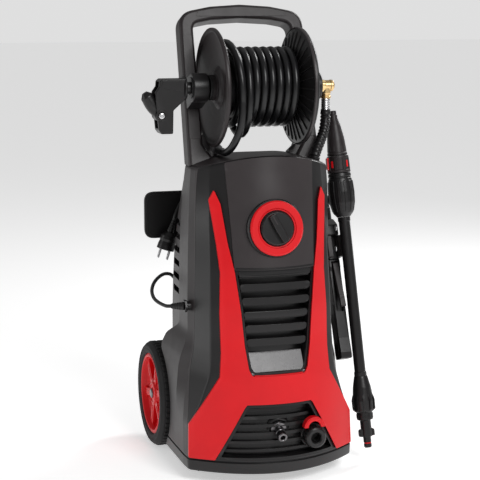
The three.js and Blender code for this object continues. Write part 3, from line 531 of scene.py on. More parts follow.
def level(z):
    """Plan sizes at one height, with the levels' corners eased."""
    def straight(h):
        h = min(max(h, LEVELS[0]), LEVELS[-1])
        low = max(v for v in LEVELS[:-1] if v <= h)
        high = LEVELS[LEVELS.index(low) + 1]
        t = (h - low) / (high - low)
        return [a + (b - a) * t for a, b in zip(BODY[low], BODY[high])]
    samples = [straight(z + d * EASING) for d in (-1, -0.5, 0, 0.5, 1)]
    return dict(zip(KEYS, [sum(column) / len(samples) for column in zip(*samples)]))


def front_y(x, z):
    plan = level(z)
    return plan["front"] + plan["bow"] * x * x


def crown_z(x):
    return CROWN[0] - CROWN[1] * (x / CROWN[2]) ** 2


def seam_y(z):
    t = min(max((z - 106) / (202 - 106), 0), 1)
    return -134 + (-92 + 134) * t


def half_plan(z):
    """Right half of the plan at one height, from front middle to back middle, and where the seam is."""
    plan = level(z)
    nose = (plan["nose"], plan["front"] + plan["bow"] * plan["nose"] ** 2)
    corner = Vector((plan["corner_x"], plan["corner_y"]))
    crease = Vector((plan["crease_x"], plan["crease_y"]))
    cut_y = min(seam_y(z), corner.y)
    t = (cut_y - nose[1]) / (corner.y - nose[1])
    seam = Vector(nose).lerp(corner, t)
    after = corner if cut_y < corner.y - 4 else corner.lerp(crease, 0.16)
    drop = abs(z - WHEEL["z"])
    arch_y = WHEEL["y"] - math.sqrt(ARCH ** 2 - drop ** 2) if drop < ARCH else WHEEL["y"]
    edge_y = min(plan["flank_y"], arch_y)
    front = [(plan["nose"] * i / 14, plan["front"] + plan["bow"] * (plan["nose"] * i / 14) ** 2)
             for i in range(14)]
    first = rounded([front[-1], (*nose, 12), tuple(seam)], closed=False, steps=5)
    depth = max(1.5, min(12, (plan["flank_x"] - plan["inner_x"]) * 0.35))
    rest = rounded([
        tuple(seam), (*after, 6), (*crease, 5), (plan["flank_x"], edge_y, 5),
        (plan["inner_x"], edge_y + depth, 4), (plan["rear_x"], plan["rear_y"], 16), (0, plan["back"]),
    ], closed=False, steps=4)
    # points between the corners, so that the sides can be cut and shaded
    dense = [rest[0]]
    parts = [1, 1, 1, 1, 2, 1, 1, 1, 1, 6, 1, 1, 1, 1, 2, 1, 1, 1, 1, 6, 1, 1, 1, 1, 10]
    for (a, b), n in zip(zip(rest, rest[1:]), parts):
        dense += [(a[0] + (b[0] - a[0]) * k / n, a[1] + (b[1] - a[1]) * k / n) for k in range(1, n + 1)]
    ring = [*front[:-1], *first[:-1], *dense]
    return ring, len(front) - 1 + len(first) - 1


DECK_EDGE = 7  # radius from the walls to the deck
DECK_MIDDLE = Vector((0, -70, 0))
DECK_RINGS = 12


def shell_columns():
    """The body's outer surface as columns of points from the bottom to the deck, for the right half."""
    rows = 92
    ring, seam = half_plan(SHELL_BOTTOM)
    columns = [[] for _ in ring]
    plans = {}
    for j in range(rows + 1):
        t = j / rows
        nominal = SHELL_BOTTOM + (CROWN[0] - DECK_EDGE - SHELL_BOTTOM) * t
        for i, (x, _) in enumerate(half_plan(nominal)[0]):
            z = SHELL_BOTTOM + (crown_z(x) - DECK_EDGE - SHELL_BOTTOM) * t
            at = round(z, 1)
            if at not in plans:
                plans[at] = half_plan(at)[0]
            columns[i].append(Vector((*plans[at][i], z)))
    return over_edge(columns), seam


def over_edge(columns):
    """Carries each column over the deck's rounded edge."""
    for column in columns:
        foot = column[-1]
        inwards = Vector((DECK_MIDDLE.x - foot.x, DECK_MIDDLE.y - foot.y, 0))
        if abs(foot.x) > 90:
            inwards.y *= 0.35
        inwards.normalize()
        for k in range(1, 5):
            a = math.radians(90 * k / 4)
            point = foot + inwards * DECK_EDGE * (1 - math.cos(a))
            point.z = foot.z + DECK_EDGE * math.sin(a)
            column.append(point)
    return columns


def left_of(columns):
    """The mirror image of columns of points, from the last to the first."""
    return [[Vector((-p.x, p.y, p.z)) for p in column] for column in reversed(columns)]


def grid(columns):
    """An open sheet through columns of points."""
    points = [p for column in columns for p in column]
    n = len(columns[0])
    faces = []
    for i in range(len(columns) - 1):
        faces += [(i * n + k, (i + 1) * n + k, (i + 1) * n + k + 1, i * n + k + 1) for k in range(n - 1)]
    return object_of("sheet", points, faces)


def thickened(made, thickness, outwards):
    """Gives an open sheet a wall; `outwards` is a design point on its outer side."""
    bm = bmesh.new()
    bm.from_mesh(made.data)
    bmesh.ops.remove_doubles(bm, verts=bm.verts, dist=0.00002)
    bmesh.ops.recalc_face_normals(bm, faces=bm.faces)
    bm.faces.ensure_lookup_table()
    out = row(outwards)
    near = min(bm.faces, key=lambda f: (f.calc_center_median() - out).length)
    if near.normal.dot(out - near.calc_center_median()) < 0:
        bmesh.ops.reverse_faces(bm, faces=bm.faces)
    bm.to_mesh(made.data)
    bm.free()
    wall = made.modifiers.new("wall", "SOLIDIFY")
    wall.thickness = thickness * MM
    wall.offset = -1
    wall.use_even_offset = False
    return apply(made)


def prism_front(outline, near, far):
    """A cutting block: a front-view outline pushed from y = near to y = far."""
    return plate(outline, -far, -near, TO_FRONT)


LOUVRE = [(76, 396), (67.5, 320), (62, 258), (55.5, 216), (51, 208), (47, 205.5)]
CONNECTION = [(60, 149.5), (65, 145), (117, 49)]
TRIM_OUTER = [(104.5, 541), (113, 524), (105, 447), (100.7, 393), (104, 319), (103.5, 247), (107, 202),
              (160, 110), (161.5, 47), (120, 47.5), (66.5, 146), (62, 151.5)]
TRIM_INNER = [(87, 449), (77, 395), (68.6, 322), (63.3, 258), (57, 216), (52, 206), (48, 203.5)]
GLAND = (-140.5, -72, 318)
SLEEVE_FOOT = (111, -70, 574)
VENTS = {"count": 6, "first": 318, "pitch": 27, "height": 12}


def drawn_back(column, towards):
    return [p + (q - p).normalized() * SEAM_GAP for p, q in zip(column, towards)]


def make_front_cover(columns, seam):
    front = [*columns[:seam], drawn_back(columns[seam], columns[seam - 1])]
    shell = thickened(grid([*left_of(front), *front]), WALL, (0, -400, 300))
    cut(shell, prism_front(both_sides(LOUVRE), -400, -60), prism_front(both_sides(CONNECTION), -400, -60))
    bevelled(shell, 0.6, 2, 50)
    dress(shell, "front_cover", BLACK, "chassis", "front_shell")


def make_rear_cover(columns, seam):
    rear = [drawn_back(columns[seam], columns[seam + 1]), *columns[seam + 1:]]
    back = thickened(grid([*rear, *left_of(rear)[1:]]), WALL, (0, 400, 300))
    tools = []
    for side in (-1, 1):
        for i in range(VENTS["count"]):
            z = VENTS["first"] + i * VENTS["pitch"]
            outline = [(28, z, 3), (90, z, 5), (90, z + VENTS["height"], 5), (28, z + VENTS["height"], 3)]
            tools.append(plate(outline, *sorted((side * 117, side * 150)), TO_SIDE))
    cut(back, *tools)
    bevelled(back, 0.5, 2, 55)
    dress(back, "rear_cover", CHARCOAL, "chassis", "rear_shell")


def make_deck(columns):
    rings = []
    loop = [column[-1] for column in [*columns, *left_of(columns)[1:-1]]]
    for k in range(DECK_RINGS + 1):
        share = 1 - 0.985 * k / DECK_RINGS
        spots = [DECK_MIDDLE + (Vector((p.x, p.y, 0)) - DECK_MIDDLE) * share for p in loop]
        rings.append([Vector((q.x, q.y, crown_z(q.x))) for q in spots])
    deck = thickened(loft("deck", rings, caps=(-1,)), WALL, (0, -70, 900))
    cut(deck, rod((SLEEVE_FOOT[0], SLEEVE_FOOT[1], 540), (SLEEVE_FOOT[0], SLEEVE_FOOT[1], 640), 12))
    dress(deck, "deck_lid", CHARCOAL, "chassis")


def make_cover_screws():
    screws = []
    for x in (-96, 96):
        for z in (72, 232, 392, 500):
            plan = level(z)
            y = plan["back"] + (plan["rear_y"] - plan["back"]) * abs(x) / plan["rear_x"]
            head = [[0, -1], [5.6, -1], [5.6, 0.9, 0.5], [3.2, 1.3, 0.3], [2.6, 0.3], [0, 0.3]]
            screws.append(turned(head, along((x, y, z), (x, y + 4, z)), 40))
    dress(screws, "rear_cover_screws", DARK_STEEL, "chassis")


SKIN_PITCH = 7.0  # between the cuts that let a skin bend


def front_skin(outline, ahead, thick, edge, holes=(), form=front_y):
    """A skin that follows the bowed front: a front-view outline, `ahead` of the front and `thick` deep."""
    bm = filled([outline, *holes])
    lows = [min(p[k] for p in outline) for k in (0, 1)]
    highs = [max(p[k] for p in outline) for k in (0, 1)]
    for k, normal in enumerate(((1, 0, 0), (0, 1, 0))):
        at = math.ceil(lows[k] / SKIN_PITCH) * SKIN_PITCH
        while at < highs[k]:
            point = (at, 0, 0) if k == 0 else (0, at, 0)
            bmesh.ops.bisect_plane(bm, geom=bm.verts[:] + bm.edges[:] + bm.faces[:], plane_co=point,
                                   plane_no=normal, dist=0.001)
            at += SKIN_PITCH
    grown = bmesh.ops.extrude_face_region(bm, geom=bm.faces[:])
    back = {v for v in grown["geom"] if isinstance(v, bmesh.types.BMVert)}
    for v in bm.verts:
        depth = -ahead + (thick if v in back else 0)
        v.co = row((v.co.x, form(v.co.x, v.co.y) + depth, v.co.y))
    bmesh.ops.recalc_face_normals(bm, faces=bm.faces)
    return bevelled(from_bmesh(bm, "skin"), edge, 3, 38)


columns, seam = shell_columns()
make_front_cover(columns, seam)
make_rear_cover(columns, seam)
make_deck(columns)
make_cover_screws()


# ---------- cords ----------
REEL = {"y": -47, "z": 724, "drum": 46, "half": 61.8}
HOSE_D = 14
INNER_R, OUTER_R = 54, 68.6  # from the axis to the middle of the hose in each layer
INNER_TURNS = 8
INNER_END = 58  # the inner layer runs from -58 to 58 across
CLIMB = 0.35  # share of a turn in which the hose climbs to the outer layer
OUTER_AT = [(0, 60), (7, -45), (8, -59), (8.29, -50)]  # turns, and how far across
RAISED_R = 82.7  # the last turn lies on the outer layer
BULGE = {"at": 6.42, "width": 0.13, "height": 23}  # where one turn stands off loosely
STEPS_A_TURN = 34
HOSE_TAIL = [(-50, -127, 703), (-51, -127, 676), (-56, -122, 644), (-66, -109, 617), (-71, -88, 606.5),
             (-71, -62, 606.5), (-71, -36, 606.5)]


def ease(t):
    t = min(max(t, 0), 1)
    return t * t * (3 - 2 * t)


def between(table, at):
    for (a, va), (b, vb) in zip(table, table[1:]):
        if at <= b:
            return va + (vb - va) * (at - a) / (b - a)
    return table[-1][1]


def about_reel(turn, radius, x):
    """A point of the reel: `turn` counts turns from the top over the front."""
    a = math.tau * turn
    return Vector((x, REEL["y"] - radius * math.sin(a), REEL["z"] + radius * math.cos(a)))


def reel_line():
    line = []
    for i in range(round((INNER_TURNS + CLIMB) * STEPS_A_TURN)):
        done = i / STEPS_A_TURN
        turn = -(INNER_TURNS + CLIMB) + done
        if turn < -CLIMB:
            radius = INNER_R - 9 * (1 - ease(done / 0.22))
            x = -INNER_END + 2 * INNER_END * done / INNER_TURNS
        else:
            t = (turn + CLIMB) / CLIMB
            radius = INNER_R + (OUTER_R - INNER_R) * ease(t)
            x = INNER_END + (OUTER_AT[0][1] - INNER_END) * t
        line.append(about_reel(turn, radius, x))
    end = OUTER_AT[-1][0]
    count = round(end * STEPS_A_TURN)
    for i in range(count + 1):
        turn = end * i / count
        radius = OUTER_R + (RAISED_R - OUTER_R) * ease((turn - 7.72) / 0.28)
        radius += BULGE["height"] * math.exp(-((turn - BULGE["at"]) / BULGE["width"]) ** 2)
        line.append(about_reel(turn, radius, between(OUTER_AT, turn)))
    line[-1] = Vector(HOSE_TAIL[0])
    return line


CABLE_D = 7
HANK = {"x": -56, "top": 455, "bottom": 305, "near": 132.7, "far": 155.3, "inner": 33, "outer": 41,
        "over": 48.6}
TIE_Y = 144  # where the cable comes to the hank and leaves it
CABLE_LOOP = [
    (GLAND[0] - 30.4, GLAND[1] + 12.2, GLAND[2] - 1), (GLAND[0] - 37, GLAND[1] + 15.5, GLAND[2] - 1.3),
    (-184, -38, 317.5), (-189, -8, 321), (-186, 26, 328), (-174, 62, 336), (-156, 94, 342), (-137, 118, 344),
    (-119, 135, 338), (-107, 143, 323), (-104.4, TIE_Y, 306),
]
PLUG_TOP = (-113.8, 131, 450)
PLUG_DOWN = (-0.3, 0, -0.954)


def plug_at(t, across=0):
    return Vector((PLUG_TOP[0] + PLUG_DOWN[0] * t - PLUG_DOWN[2] * across, PLUG_TOP[1],
                   PLUG_TOP[2] + PLUG_DOWN[2] * t + PLUG_DOWN[0] * across))


CABLE_TAIL = [(-90.2, TIE_Y, 489.8), (-98, 141, 480), (-105, 136, 470), plug_at(-11), plug_at(-0.4)]


def hank_at(turn, radius, y):
    """A point of the hank: down the left, under, up the right and over, one turn in all."""
    part, t = divmod((turn % 1) * 4, 1)
    x, top, bottom = HANK["x"], HANK["top"], HANK["bottom"]
    a = math.pi * t
    if part == 0:
        return Vector((x - radius, y, top + (bottom - top) * t))
    if part == 1:
        return Vector((x - radius * math.cos(a), y, bottom - radius * math.sin(a)))
    if part == 2:
        return Vector((x + radius, y, bottom + (top - bottom) * t))
    return Vector((x + radius * math.cos(a), y, top + radius * math.sin(a)))


def hank_line():
    """Three turns inwards on the hooks, and then back outwards over them."""
    line = []
    start, end = 0.248, 5.9375  # turns, from where the loop arrives to where the tail leaves
    steps = round((end - start) * 44)
    for i in range(steps + 1):
        turn = start + (end - start) * i / steps
        if turn < 3.6:
            radius = HANK["over"] - (HANK["over"] - HANK["inner"]) * ease((turn - 0.3) / 0.32)
            if turn < 0.6:
                y = TIE_Y + (HANK["far"] - TIE_Y) * ease((turn - start) / 0.2)
            else:
                y = HANK["far"] + (HANK["near"] - HANK["far"]) * (turn - 0.6) / 3
        else:
            y = HANK["near"] + 7.5 * max(0, turn - 3.95)
            radius = HANK["inner"] + (HANK["outer"] - HANK["inner"]) * ease((turn - 3.6) / 0.35)
            radius += (HANK["over"] - HANK["outer"]) * ease((turn - 5.72) / 0.21)
            y += (TIE_Y - y) * ease((turn - 5.8) / 0.1375)
        line.append(hank_at(turn, radius, y))
    return line


def make_cords():
    turns = reel_line()
    coil = tube_curve("hose_turns", turns, HOSE_D / 2, HOSE, "reel", "hose_coil")
    run = smooth_line(HOSE_TAIL)
    tail = tube_curve("hose_run", run, HOSE_D / 2, HOSE, "chassis", "hose_tail")
    nut = turned([[0, 0], [10.5, 0, 0.8], [10.5, 9, 0.8], [9.2, 10], [9.2, 13], [10, 14], [10, 22, 1],
                  [8, 24], [6.6, 24.4], [6.6, 43, 0.6], [0, 43]], along((-71, -35.7, 606.5), (-71, 8, 606.5)),
                  48)
    dress(nut, "hose_end_fitting", DARK_STEEL, "chassis", "hose_connector")

    lead = [*smooth_line(CABLE_LOOP)[:-1], *hank_line()[:-1], *smooth_line(CABLE_TAIL)]
    cable = tube_curve("mains_cable", lead, CABLE_D / 2, CABLE, "chassis", "cable_loop", "cable_hank",
                       "cable_tail")
    pieces = make_plug()


def make_plug():
    place = along(plug_at(0), plug_at(90))
    relief = [[3.7, 0]]
    for k in range(5):
        z = 3 + 4.4 * k
        r = 4.4 + 0.75 * k
        relief += [[r, z, 0.5], [r, z + 2.6, 0.5], [r - 0.7, z + 3], [r - 0.7, z + 4]]
    body = turned([[0, 0], *relief, [8.8, 26], [16.2, 33, 3], [17.2, 40, 3], [16, 45, 2], [17.4, 52, 3],
                   [17.8, 61.4, 1.2], [14, 62], [0, 62]], place, 72)
    dress(body, "plug_moulding", BLACK, "chassis", "plug_body")
    pins = []
    for side, name in SIDES:
        pin = turned([[0, 0], [2.6, 0], [2.6, 10, 0.3], [2.35, 10.4], [2.35, 17.6, 1.2], [1.4, 19.2, 0.8],
                      [0, 19.2]],
                     along(plug_at(61.9, side * 9.5), plug_at(82, side * 9.5)), 32)
        pins.append(dress(pin, "plug_pin_brass_" + name[0], STEEL, "chassis", "plug_pin_" + name))
    return [body, *pins]


make_cords()


# ---------- front skins ----------
DIAL = {"z": 474, "y": -173, "tilt": math.radians(8)}
SLATS = {"count": 6, "first": 258, "pitch": 25.4, "height": 13}
RIBS = {"count": 6, "first": 58, "pitch": 15.2, "height": 6}


def make_trim_frame():
    # the legs' inner edge runs up to the pointed tips; one outline takes in both tips and the opening
    tip_x, tip_z = TRIM_OUTER[0]
    opening = [(tip_x - 1.5, tip_z - 2, 1.5), (95, 517, 1.5), *[(x, z, 1.5) for x, z in TRIM_INNER]]
    outline = [*both_sides([(x, z, 2) for x, z in TRIM_OUTER]), *[(-x, z, r) for x, z, r in opening],
               *reversed(opening)]
    frame_skin = front_skin(rounded(outline, steps=3), 5.0, 4.6, edge=1.6)
    dress(frame_skin, "red_front_frame", RED, "chassis", "trim_frame")


def make_chamfer_lip():
    step = front_skin(both_sides([(48, 205.5, 1), (44, 199, 1)]), 3.2, 3.4, edge=0.8)
    dress(step, "red_chamfer_lip", RED, "chassis")


def make_fascia():
    half = [(77, 398.5, 2), (79.5, 470), (85, crown_z(85) - 1.5, 4)]
    half += [(x, crown_z(x) - 1.5) for x in (72, 54, 36, 18, 6)]
    panel = front_skin(both_sides(half), 3, 2.8, edge=1.4, form=lambda x, z: front_y(x, min(z, CROWN[0])))
    dress(panel, "control_fascia", PANEL, "chassis", "control_panel")

    # A thin black strip along the fascia's lower edge: painted shade, where the edge casts its shadow on the
    # panel.
    strip = front_skin(both_sides([(75, 399.5, 1), (75.4, 403, 1)]), 3.7, 1.2, edge=0.5)
    dress(strip, "fascia_edge_painted_shade", BLACK, "chassis")


def flatter(x, z):
    """The front's height line with a third of its bow, for what stands inside the grille."""
    return front_y(0, z) + 0.0011 * x * x


def make_louvre():
    back = both_sides([(77.5, 398, 2), (68.8, 320, 2), (63.3, 258, 2), (56.6, 216, 2), (50, 206, 2)])
    pieces = [front_skin(back, -26, 3, edge=0.5)]
    outline = both_sides([(75.7, 395.7), (67.2, 320), (61.7, 258), (55.2, 216), (50.7, 208), (46.7, 205.8)])
    inner = both_sides([(71.5, 391), (63.2, 320), (57.8, 258), (51.5, 219), (47.5, 212), (44, 210)])
    inner = [(*p, 1.5) for p in inner]
    pieces.append(front_skin([(*p, 1.5) for p in outline], 0.2, 25.5, holes=[inner], edge=0.9))
    for i in range(SLATS["count"]):
        z = SLATS["first"] + i * SLATS["pitch"]
        reach = 57 + (z - 258) * 0.098
        slat = rounded(both_sides([(reach, z, 6), (reach + 1, z + SLATS["height"], 6)]), steps=6)
        pieces.append(front_skin(slat, -8.5, 8, edge=1.6, form=flatter))
        pieces.append(front_skin(box(-reach + 2, z - 3, reach - 2, z, 1), -14, 6, edge=0.5, form=flatter))
    dress(pieces, "louvre_slats", BLACK, "chassis", "louvre_grille")
    # The ledge's lighter grey is painted light on its up-facing slope.
    side = [(-164, 244.5, 3), (-188.3, 207.6, 2.5), (-188.3, 203.4), (-184, 203.4), (-161, 240)]
    dress(plate(side, -52, 52, TO_SIDE, 0.8), "louvre_ledge", SATIN_PAINTED_LIGHT, "chassis")


def make_connection():
    outer = both_sides([(59.7, 149.2, 2), (64.7, 144.7, 2), (116.7, 49.3, 2)])
    inner = both_sides([(56.5, 145, 2), (61, 141.5, 2), (109, 53, 2)])
    pieces = [front_skin(outer, 0.2, 28, holes=[inner], edge=1.0), front_skin(outer, -26, 3, edge=0.5)]
    for i in range(RIBS["count"]):
        z = RIBS["first"] + i * RIBS["pitch"]
        reach = 58 + (141.5 - z - 3) * 0.54
        rib = rounded(both_sides([(reach, z, 2.5), (reach - 3, z + RIBS["height"], 2.5)]), steps=3)
        pieces.append(front_skin(rib, -17.5, 9, edge=1.2))
    dress(pieces, "connection_recess", BLACK, "chassis", "connection_panel")


OUTLET = {"x": 2, "z": 88, "tip": -211, "length": 38, "droop": math.radians(17)}
INLET = {"x": 70, "z": 80, "face": -187, "front": -206}
CLIP = {"x": 68, "z": 99, "outer": 20.5, "inner": 12, "depth": 14}


def outlet_at(t):
    back = OUTLET["length"] - t
    return (OUTLET["x"], OUTLET["tip"] + back * math.cos(OUTLET["droop"]),
            OUTLET["z"] + back * math.sin(OUTLET["droop"]))


def clip_arc(outer, inner, steps, short=0.0):
    """The clip's half ring as an outline; `short` is the share left off at each end."""
    shares = [i / steps for i in range(steps + 1)]
    turns = [(outer, share) for share in shares] + [(inner, 1 - share) for share in shares]
    angles = [(r, math.pi * (short + (1 - 2 * short) * share)) for r, share in turns]
    return [(CLIP["x"] + r * math.cos(a), CLIP["z"] + r * math.sin(a)) for r, a in angles]


def make_outlet():
    place = along(outlet_at(0), outlet_at(40))
    boss = turned([[10.6, -10], [24, -10], [24, 2, 2], [21.5, 5.8, 1], [18.6, 5.8, 0.6], [18.2, 3.5],
                   [10.6, 3.5], [10.6, -10]],
                  place, 96)
    dress(boss, "outlet_collar", BLACK, "chassis")
    spigot = turned([[5, -40], [8.3, -40], [8.3, 6.4], [17, 6.4, 0.8], [15.4, 10.6, 1.2], [9.6, 11.4],
                     [9.2, 16, 0.5], [9.2, 22, 0.5], [8.2, 23], [8.2, 27], [9.2, 28, 0.5], [9.2, 35, 0.8],
                     [8.4, 37.4, 0.6], [5.6, 38, 0.4], [4.6, 37], [4.6, 24], [0, 24]], place, 96)
    pipe = rod((OUTLET["x"], -72.9, 100), outlet_at(-30), 5)
    dress([tidy(spigot), pipe], "outlet_spigot", DARK_STEEL, "chassis", "outlet_fitting")


def make_inlet():
    place = along((INLET["x"], INLET["face"], INLET["z"]), (INLET["x"], INLET["front"] - 1, INLET["z"]))
    boss = turned(collar_of(12.4, 24, -24, -2, 0, 1.5), place, 96)
    dress(boss, "inlet_collar", BLACK, "chassis")
    ring = turned([[9, -10], [11.8, -10], [11.8, 0.4], [20, 0.4, 1.5], [20, 16.4, 2.5], [16.6, 19, 1.2],
                   [11.4, 19, 1], [9.4, 16.6, 0.6], [9, 14], [9, -10]], place, 96)
    bumps = knurls(place, 22, 19.6, 3, 14.5, 1.2, 12, 0.6)
    mesh = turned([[0, -4], [9.2, -4], [9.2, -2.6, 0.4], [0, -2.6]], place, 48)
    dress([ring, mesh, *bumps], "inlet_ring", BLACK, "chassis", "inlet_coupling")


def make_clip():
    back, face = -INLET["face"], -INLET["face"] + CLIP["depth"]
    clip = plate(clip_arc(CLIP["outer"], CLIP["inner"], 28), back, face, TO_FRONT, 1.6)
    lip = clip_arc(CLIP["outer"] - 2.4, CLIP["outer"] - 4.2, 20, 0.08)
    rib = plate(lip, face - 0.4, face + 0.8, TO_FRONT, 0.3)
    dress([clip, rib], "inlet_clip_red", RED, "chassis", "inlet_clip")


def make_dial():
    place = tilted(math.pi - DIAL["tilt"], "X", (0, DIAL["y"], DIAL["z"]))
    # The plinth seats the flat ring on the curved panel; its black band round the ring is painted shade, where
    # the ring's shadow falls.
    plinth = turned([[30, -18], [54.5, -18], [54.5, -3.5, 2], [52.4, -0.2, 0.8], [30, -0.2], [30, -18]],
                    place, 128)
    dress(plinth, "dial_plinth_painted_shade", BLACK, "chassis")
    ring = turned([[33.4, 0.2], [50.6, 0.2, 0.6], [50.6, 4.2, 1.5], [47.8, 6.6, 1.2], [37, 6.6, 1.2],
                   [35.6, 4.6, 0.6], [33.4, 4.4], [33.4, 0.2]], place, 128)
    dress(ring, "dial_ring_red", RED, "chassis", "dial_ring")
    knob = turned([[0, -11], [5, -11], [5, 1.2], [31.6, 1.2, 0.5], [31.6, 7.6, 2], [29, 10.4, 1.4],
                   [0, 10.8]], place, 128)
    dents = knurls(place, 40, 31.3, 2.5, 7.4, 0.8, 8, 0.3)
    turn = place @ Matrix.Rotation(math.radians(28), 4, "Y")
    lie = turn @ Matrix.Rotation(-math.pi / 2, 4, "X")
    ridge = plate(rounded(both_sides([(6, -28, 4), (7.6, 0), (6, 28, 4)]), steps=5), 6, 20, lie, 1.8)
    dress([knob, ridge, *dents], "dial_knob", BLACK, "knob", "power_knob")
    mark = plate(both_sides([(0.9, 8, 0.5), (0.9, 25, 0.8)]), 19.8, 20.5, lie, 0.2)
    dress(mark, "dial_pointer", PANEL, "knob")


make_trim_frame()
make_chamfer_lip()
make_fascia()
make_louvre()
make_connection()
make_outlet()
make_inlet()
make_clip()
make_dial()


# ---------- wheels and tray ----------
def about_axle(side):
    return tilted(-side * math.pi / 2, "Z", (0, WHEEL["y"], WHEEL["z"]))


SPOKES = 6
TREADS = 56


def make_wheel(side, name):
    place = about_axle(side)
    body = "wheel_" + name
    carcass = turned([[81, 131.6], [96, 131, 3], [103, 137, 4], [103.4, 140], [103.4, 167], [103, 170, 4],
                      [97, 176.2, 4], [93, 176.6, 1], [91.6, 175.4], [90, 175.4], [88.6, 176.2, 1],
                      [84, 175.6, 1.5], [81, 173, 1], [81, 131.6]],
                     place, 144)
    blocks = []
    for start, low, high in ((0, 139.5, 152), (math.pi / TREADS, 155, 167.5)):
        outline = [(101.5, low), (105, low + 1.2), (105, high - 1.2), (101.5, high)]
        blocks += fins(place, TREADS, outline, 3.9, 0.6, start)
    dress([carcass, *blocks], "tyre_tread_" + name, RUBBER, body, "tyre_" + name)
    disc = turned([[0, 150], [9, 150], [9, 133], [19, 133, 1.5], [24, 152, 3], [58, 152, 4], [70, 149, 3],
                   [74, 135, 1], [80.8, 135], [80.8, 172, 1.5], [76, 174.4, 1.5], [73.6, 173, 1.5],
                   [70, 161, 5], [60, 157, 5], [30, 158, 4], [25, 164, 2], [22, 169.5, 2], [18.4, 170.4, 1],
                   [17.4, 168.6], [12, 168.6, 1], [10.6, 170], [0, 170.4]],
                  place, 144)
    ribs = []
    for i in range(SPOKES):
        a = math.tau * (i + 0.3) / SPOKES
        turn = place @ Matrix.Rotation(math.pi / 2 - a, 4, "Y") @ tilted(-math.pi / 2, "X", (0, 152, 0))
        spoke = [(17, -9, 2), (34, -7, 6), (60, -8, 6), (76, -13, 2), (76, 13, 2), (60, 8, 6), (34, 7, 6),
                 (17, 9, 2)]
        ribs.append(plate(spoke, 3, 14.5, turn, 2.2))
        ribs.append(plate([(30, -2, 1.8), (62, -3, 2.8), (62, 3, 2.8), (30, 2, 1.8)], 14, 15.6, turn, 0.7))
    dress([disc, *ribs], "hub_spoked_" + name, RED, body, "wheel_hub_" + name)
    cap = turned([[0, 168], [9.6, 168], [9.6, 171.6, 1], [7, 173, 1], [0, 173.4]], place, 64)
    dress(cap, "axle_cap_" + name, DARK_STEEL, body)


def make_tray():
    """The black plinth under the body, with a step and a recessed foot line."""
    rings = []
    for z, grow in ((22, -1.5), (23.5, 0.6), (26, 1.5), (41.5, 1.5), (43, 0.8), (43.6, -1.2), (45.7, -1.6)):
        ring = [Vector(p) for p in half_plan(max(z, 23))[0]]
        whole = [*ring, *[Vector((-p.x, p.y)) for p in reversed(ring[1:-1])]]
        out = []
        for i, p in enumerate(whole):
            before, after = whole[i - 1], whole[(i + 1) % len(whole)]
            step = (after - before).normalized()
            out.append(Vector((p.x + grow * step.y, p.y - grow * step.x, z)))
        rings.append(out)
    dress(tidy(loft("tray", rings)), "plinth_tray", BLACK, "chassis", "base_tray")


def make_feet():
    for side, name in SIDES:
        x = side * 112
        pads = [plate(box(x - 20, -98, x + 20, -66, 7), 2.2, 21.7, edge=1.5)]
        for k in range(5):
            y = -95 + 6.5 * k
            pads.append(plate(box(x - 17, y, x + 17, y + 3.6, 1), 0, 2.6, edge=0.6))
        dress(pads, "rubber_pad_" + name, RUBBER, "chassis", "foot_" + name)


def make_axle():
    axle = turned([[0, -147.6], [7.2, -147.6, 0.8], [8, -146], [8, -134], [7.4, -133], [7.4, 133], [8, 134],
                   [8, 146], [7.2, 147.6, 0.8], [0, 147.6]], about_axle(1), 48)
    dress(axle, "wheel_shaft", STEEL, "chassis", "wheel_axle")


# ---------- carry frame and reel ----------
LEANING = tilted(-math.radians(18.5), "X", (0, -43, 605.5))
FRAME_DEPTH = 40


def below_crown_tool():
    """Everything below the deck, to trim what stands on it."""
    outline = [(-190, 300), (190, 300), *[(190 - 380 * i / 24, crown_z(190 - 380 * i / 24) + 0.3)
                                          for i in range(25)]]
    return plate(outline, -400, 400, TO_FRONT)


ON_FRAME = LEANING @ TO_FRONT


def make_hoop():
    outer = [(130.8, -40), (123.4, 271, 34), (60, 283.5, 50), (0, 287.5, 60)]
    inner = [(0, 260, 60), (60, 256.5, 50), (97.4, 249.3, 17), (99.5, 14, 8), (84, -10, 8), (84, -40)]
    outline = [*outer, *flipped(outer[:-1]), *flipped(inner), *inner[1:]]
    hoop = plate(rounded(outline, steps=12), -FRAME_DEPTH, 0, ON_FRAME, 7, segments=6, angle=50)
    cut(hoop, below_crown_tool())
    dress(hoop, "carry_hoop", CHARCOAL, "chassis", "handle_frame", smooth=40)


def make_inlays():
    trims = []
    for side in (-1, 1):
        panel = [(103.5, 24, 3), (103, 226, 3), (120, 226, 3), (125.4, 24, 3)]
        trims.append(plate(panel if side > 0 else flipped(panel), -0.4, 0.7, ON_FRAME, 0.5))
    half = [(92, 262.5, 3), (86, 272.6, 3), (52, 278.4, 20)]
    trims.append(plate([*half, (0, 281.2, 20), *flipped(half)], -0.4, 0.7, ON_FRAME, 0.5))
    dress(trims, "hoop_inlays", CHARCOAL, "chassis")


def make_boots():
    boots = []
    for side in (-1, 1):
        shape = [(side * 70, -40, 3), (side * 72, 2, 3), (side * 84, 12, 4), (side * 99, 44, 4),
                 (side * 101, -40, 3)]
        boots.append(plate(shape, -FRAME_DEPTH + 9, -9, ON_FRAME, 2))
    dress(cut(joined("boots", boots), below_crown_tool()), "hoop_boots", CHARCOAL, "chassis")


ON_REEL = tilted(-math.pi / 2, "Z", (0, REEL["y"], REEL["z"]))


def mirrored_x(profile):
    return [[p[0], -p[1], *p[2:]] for p in reversed(profile)]


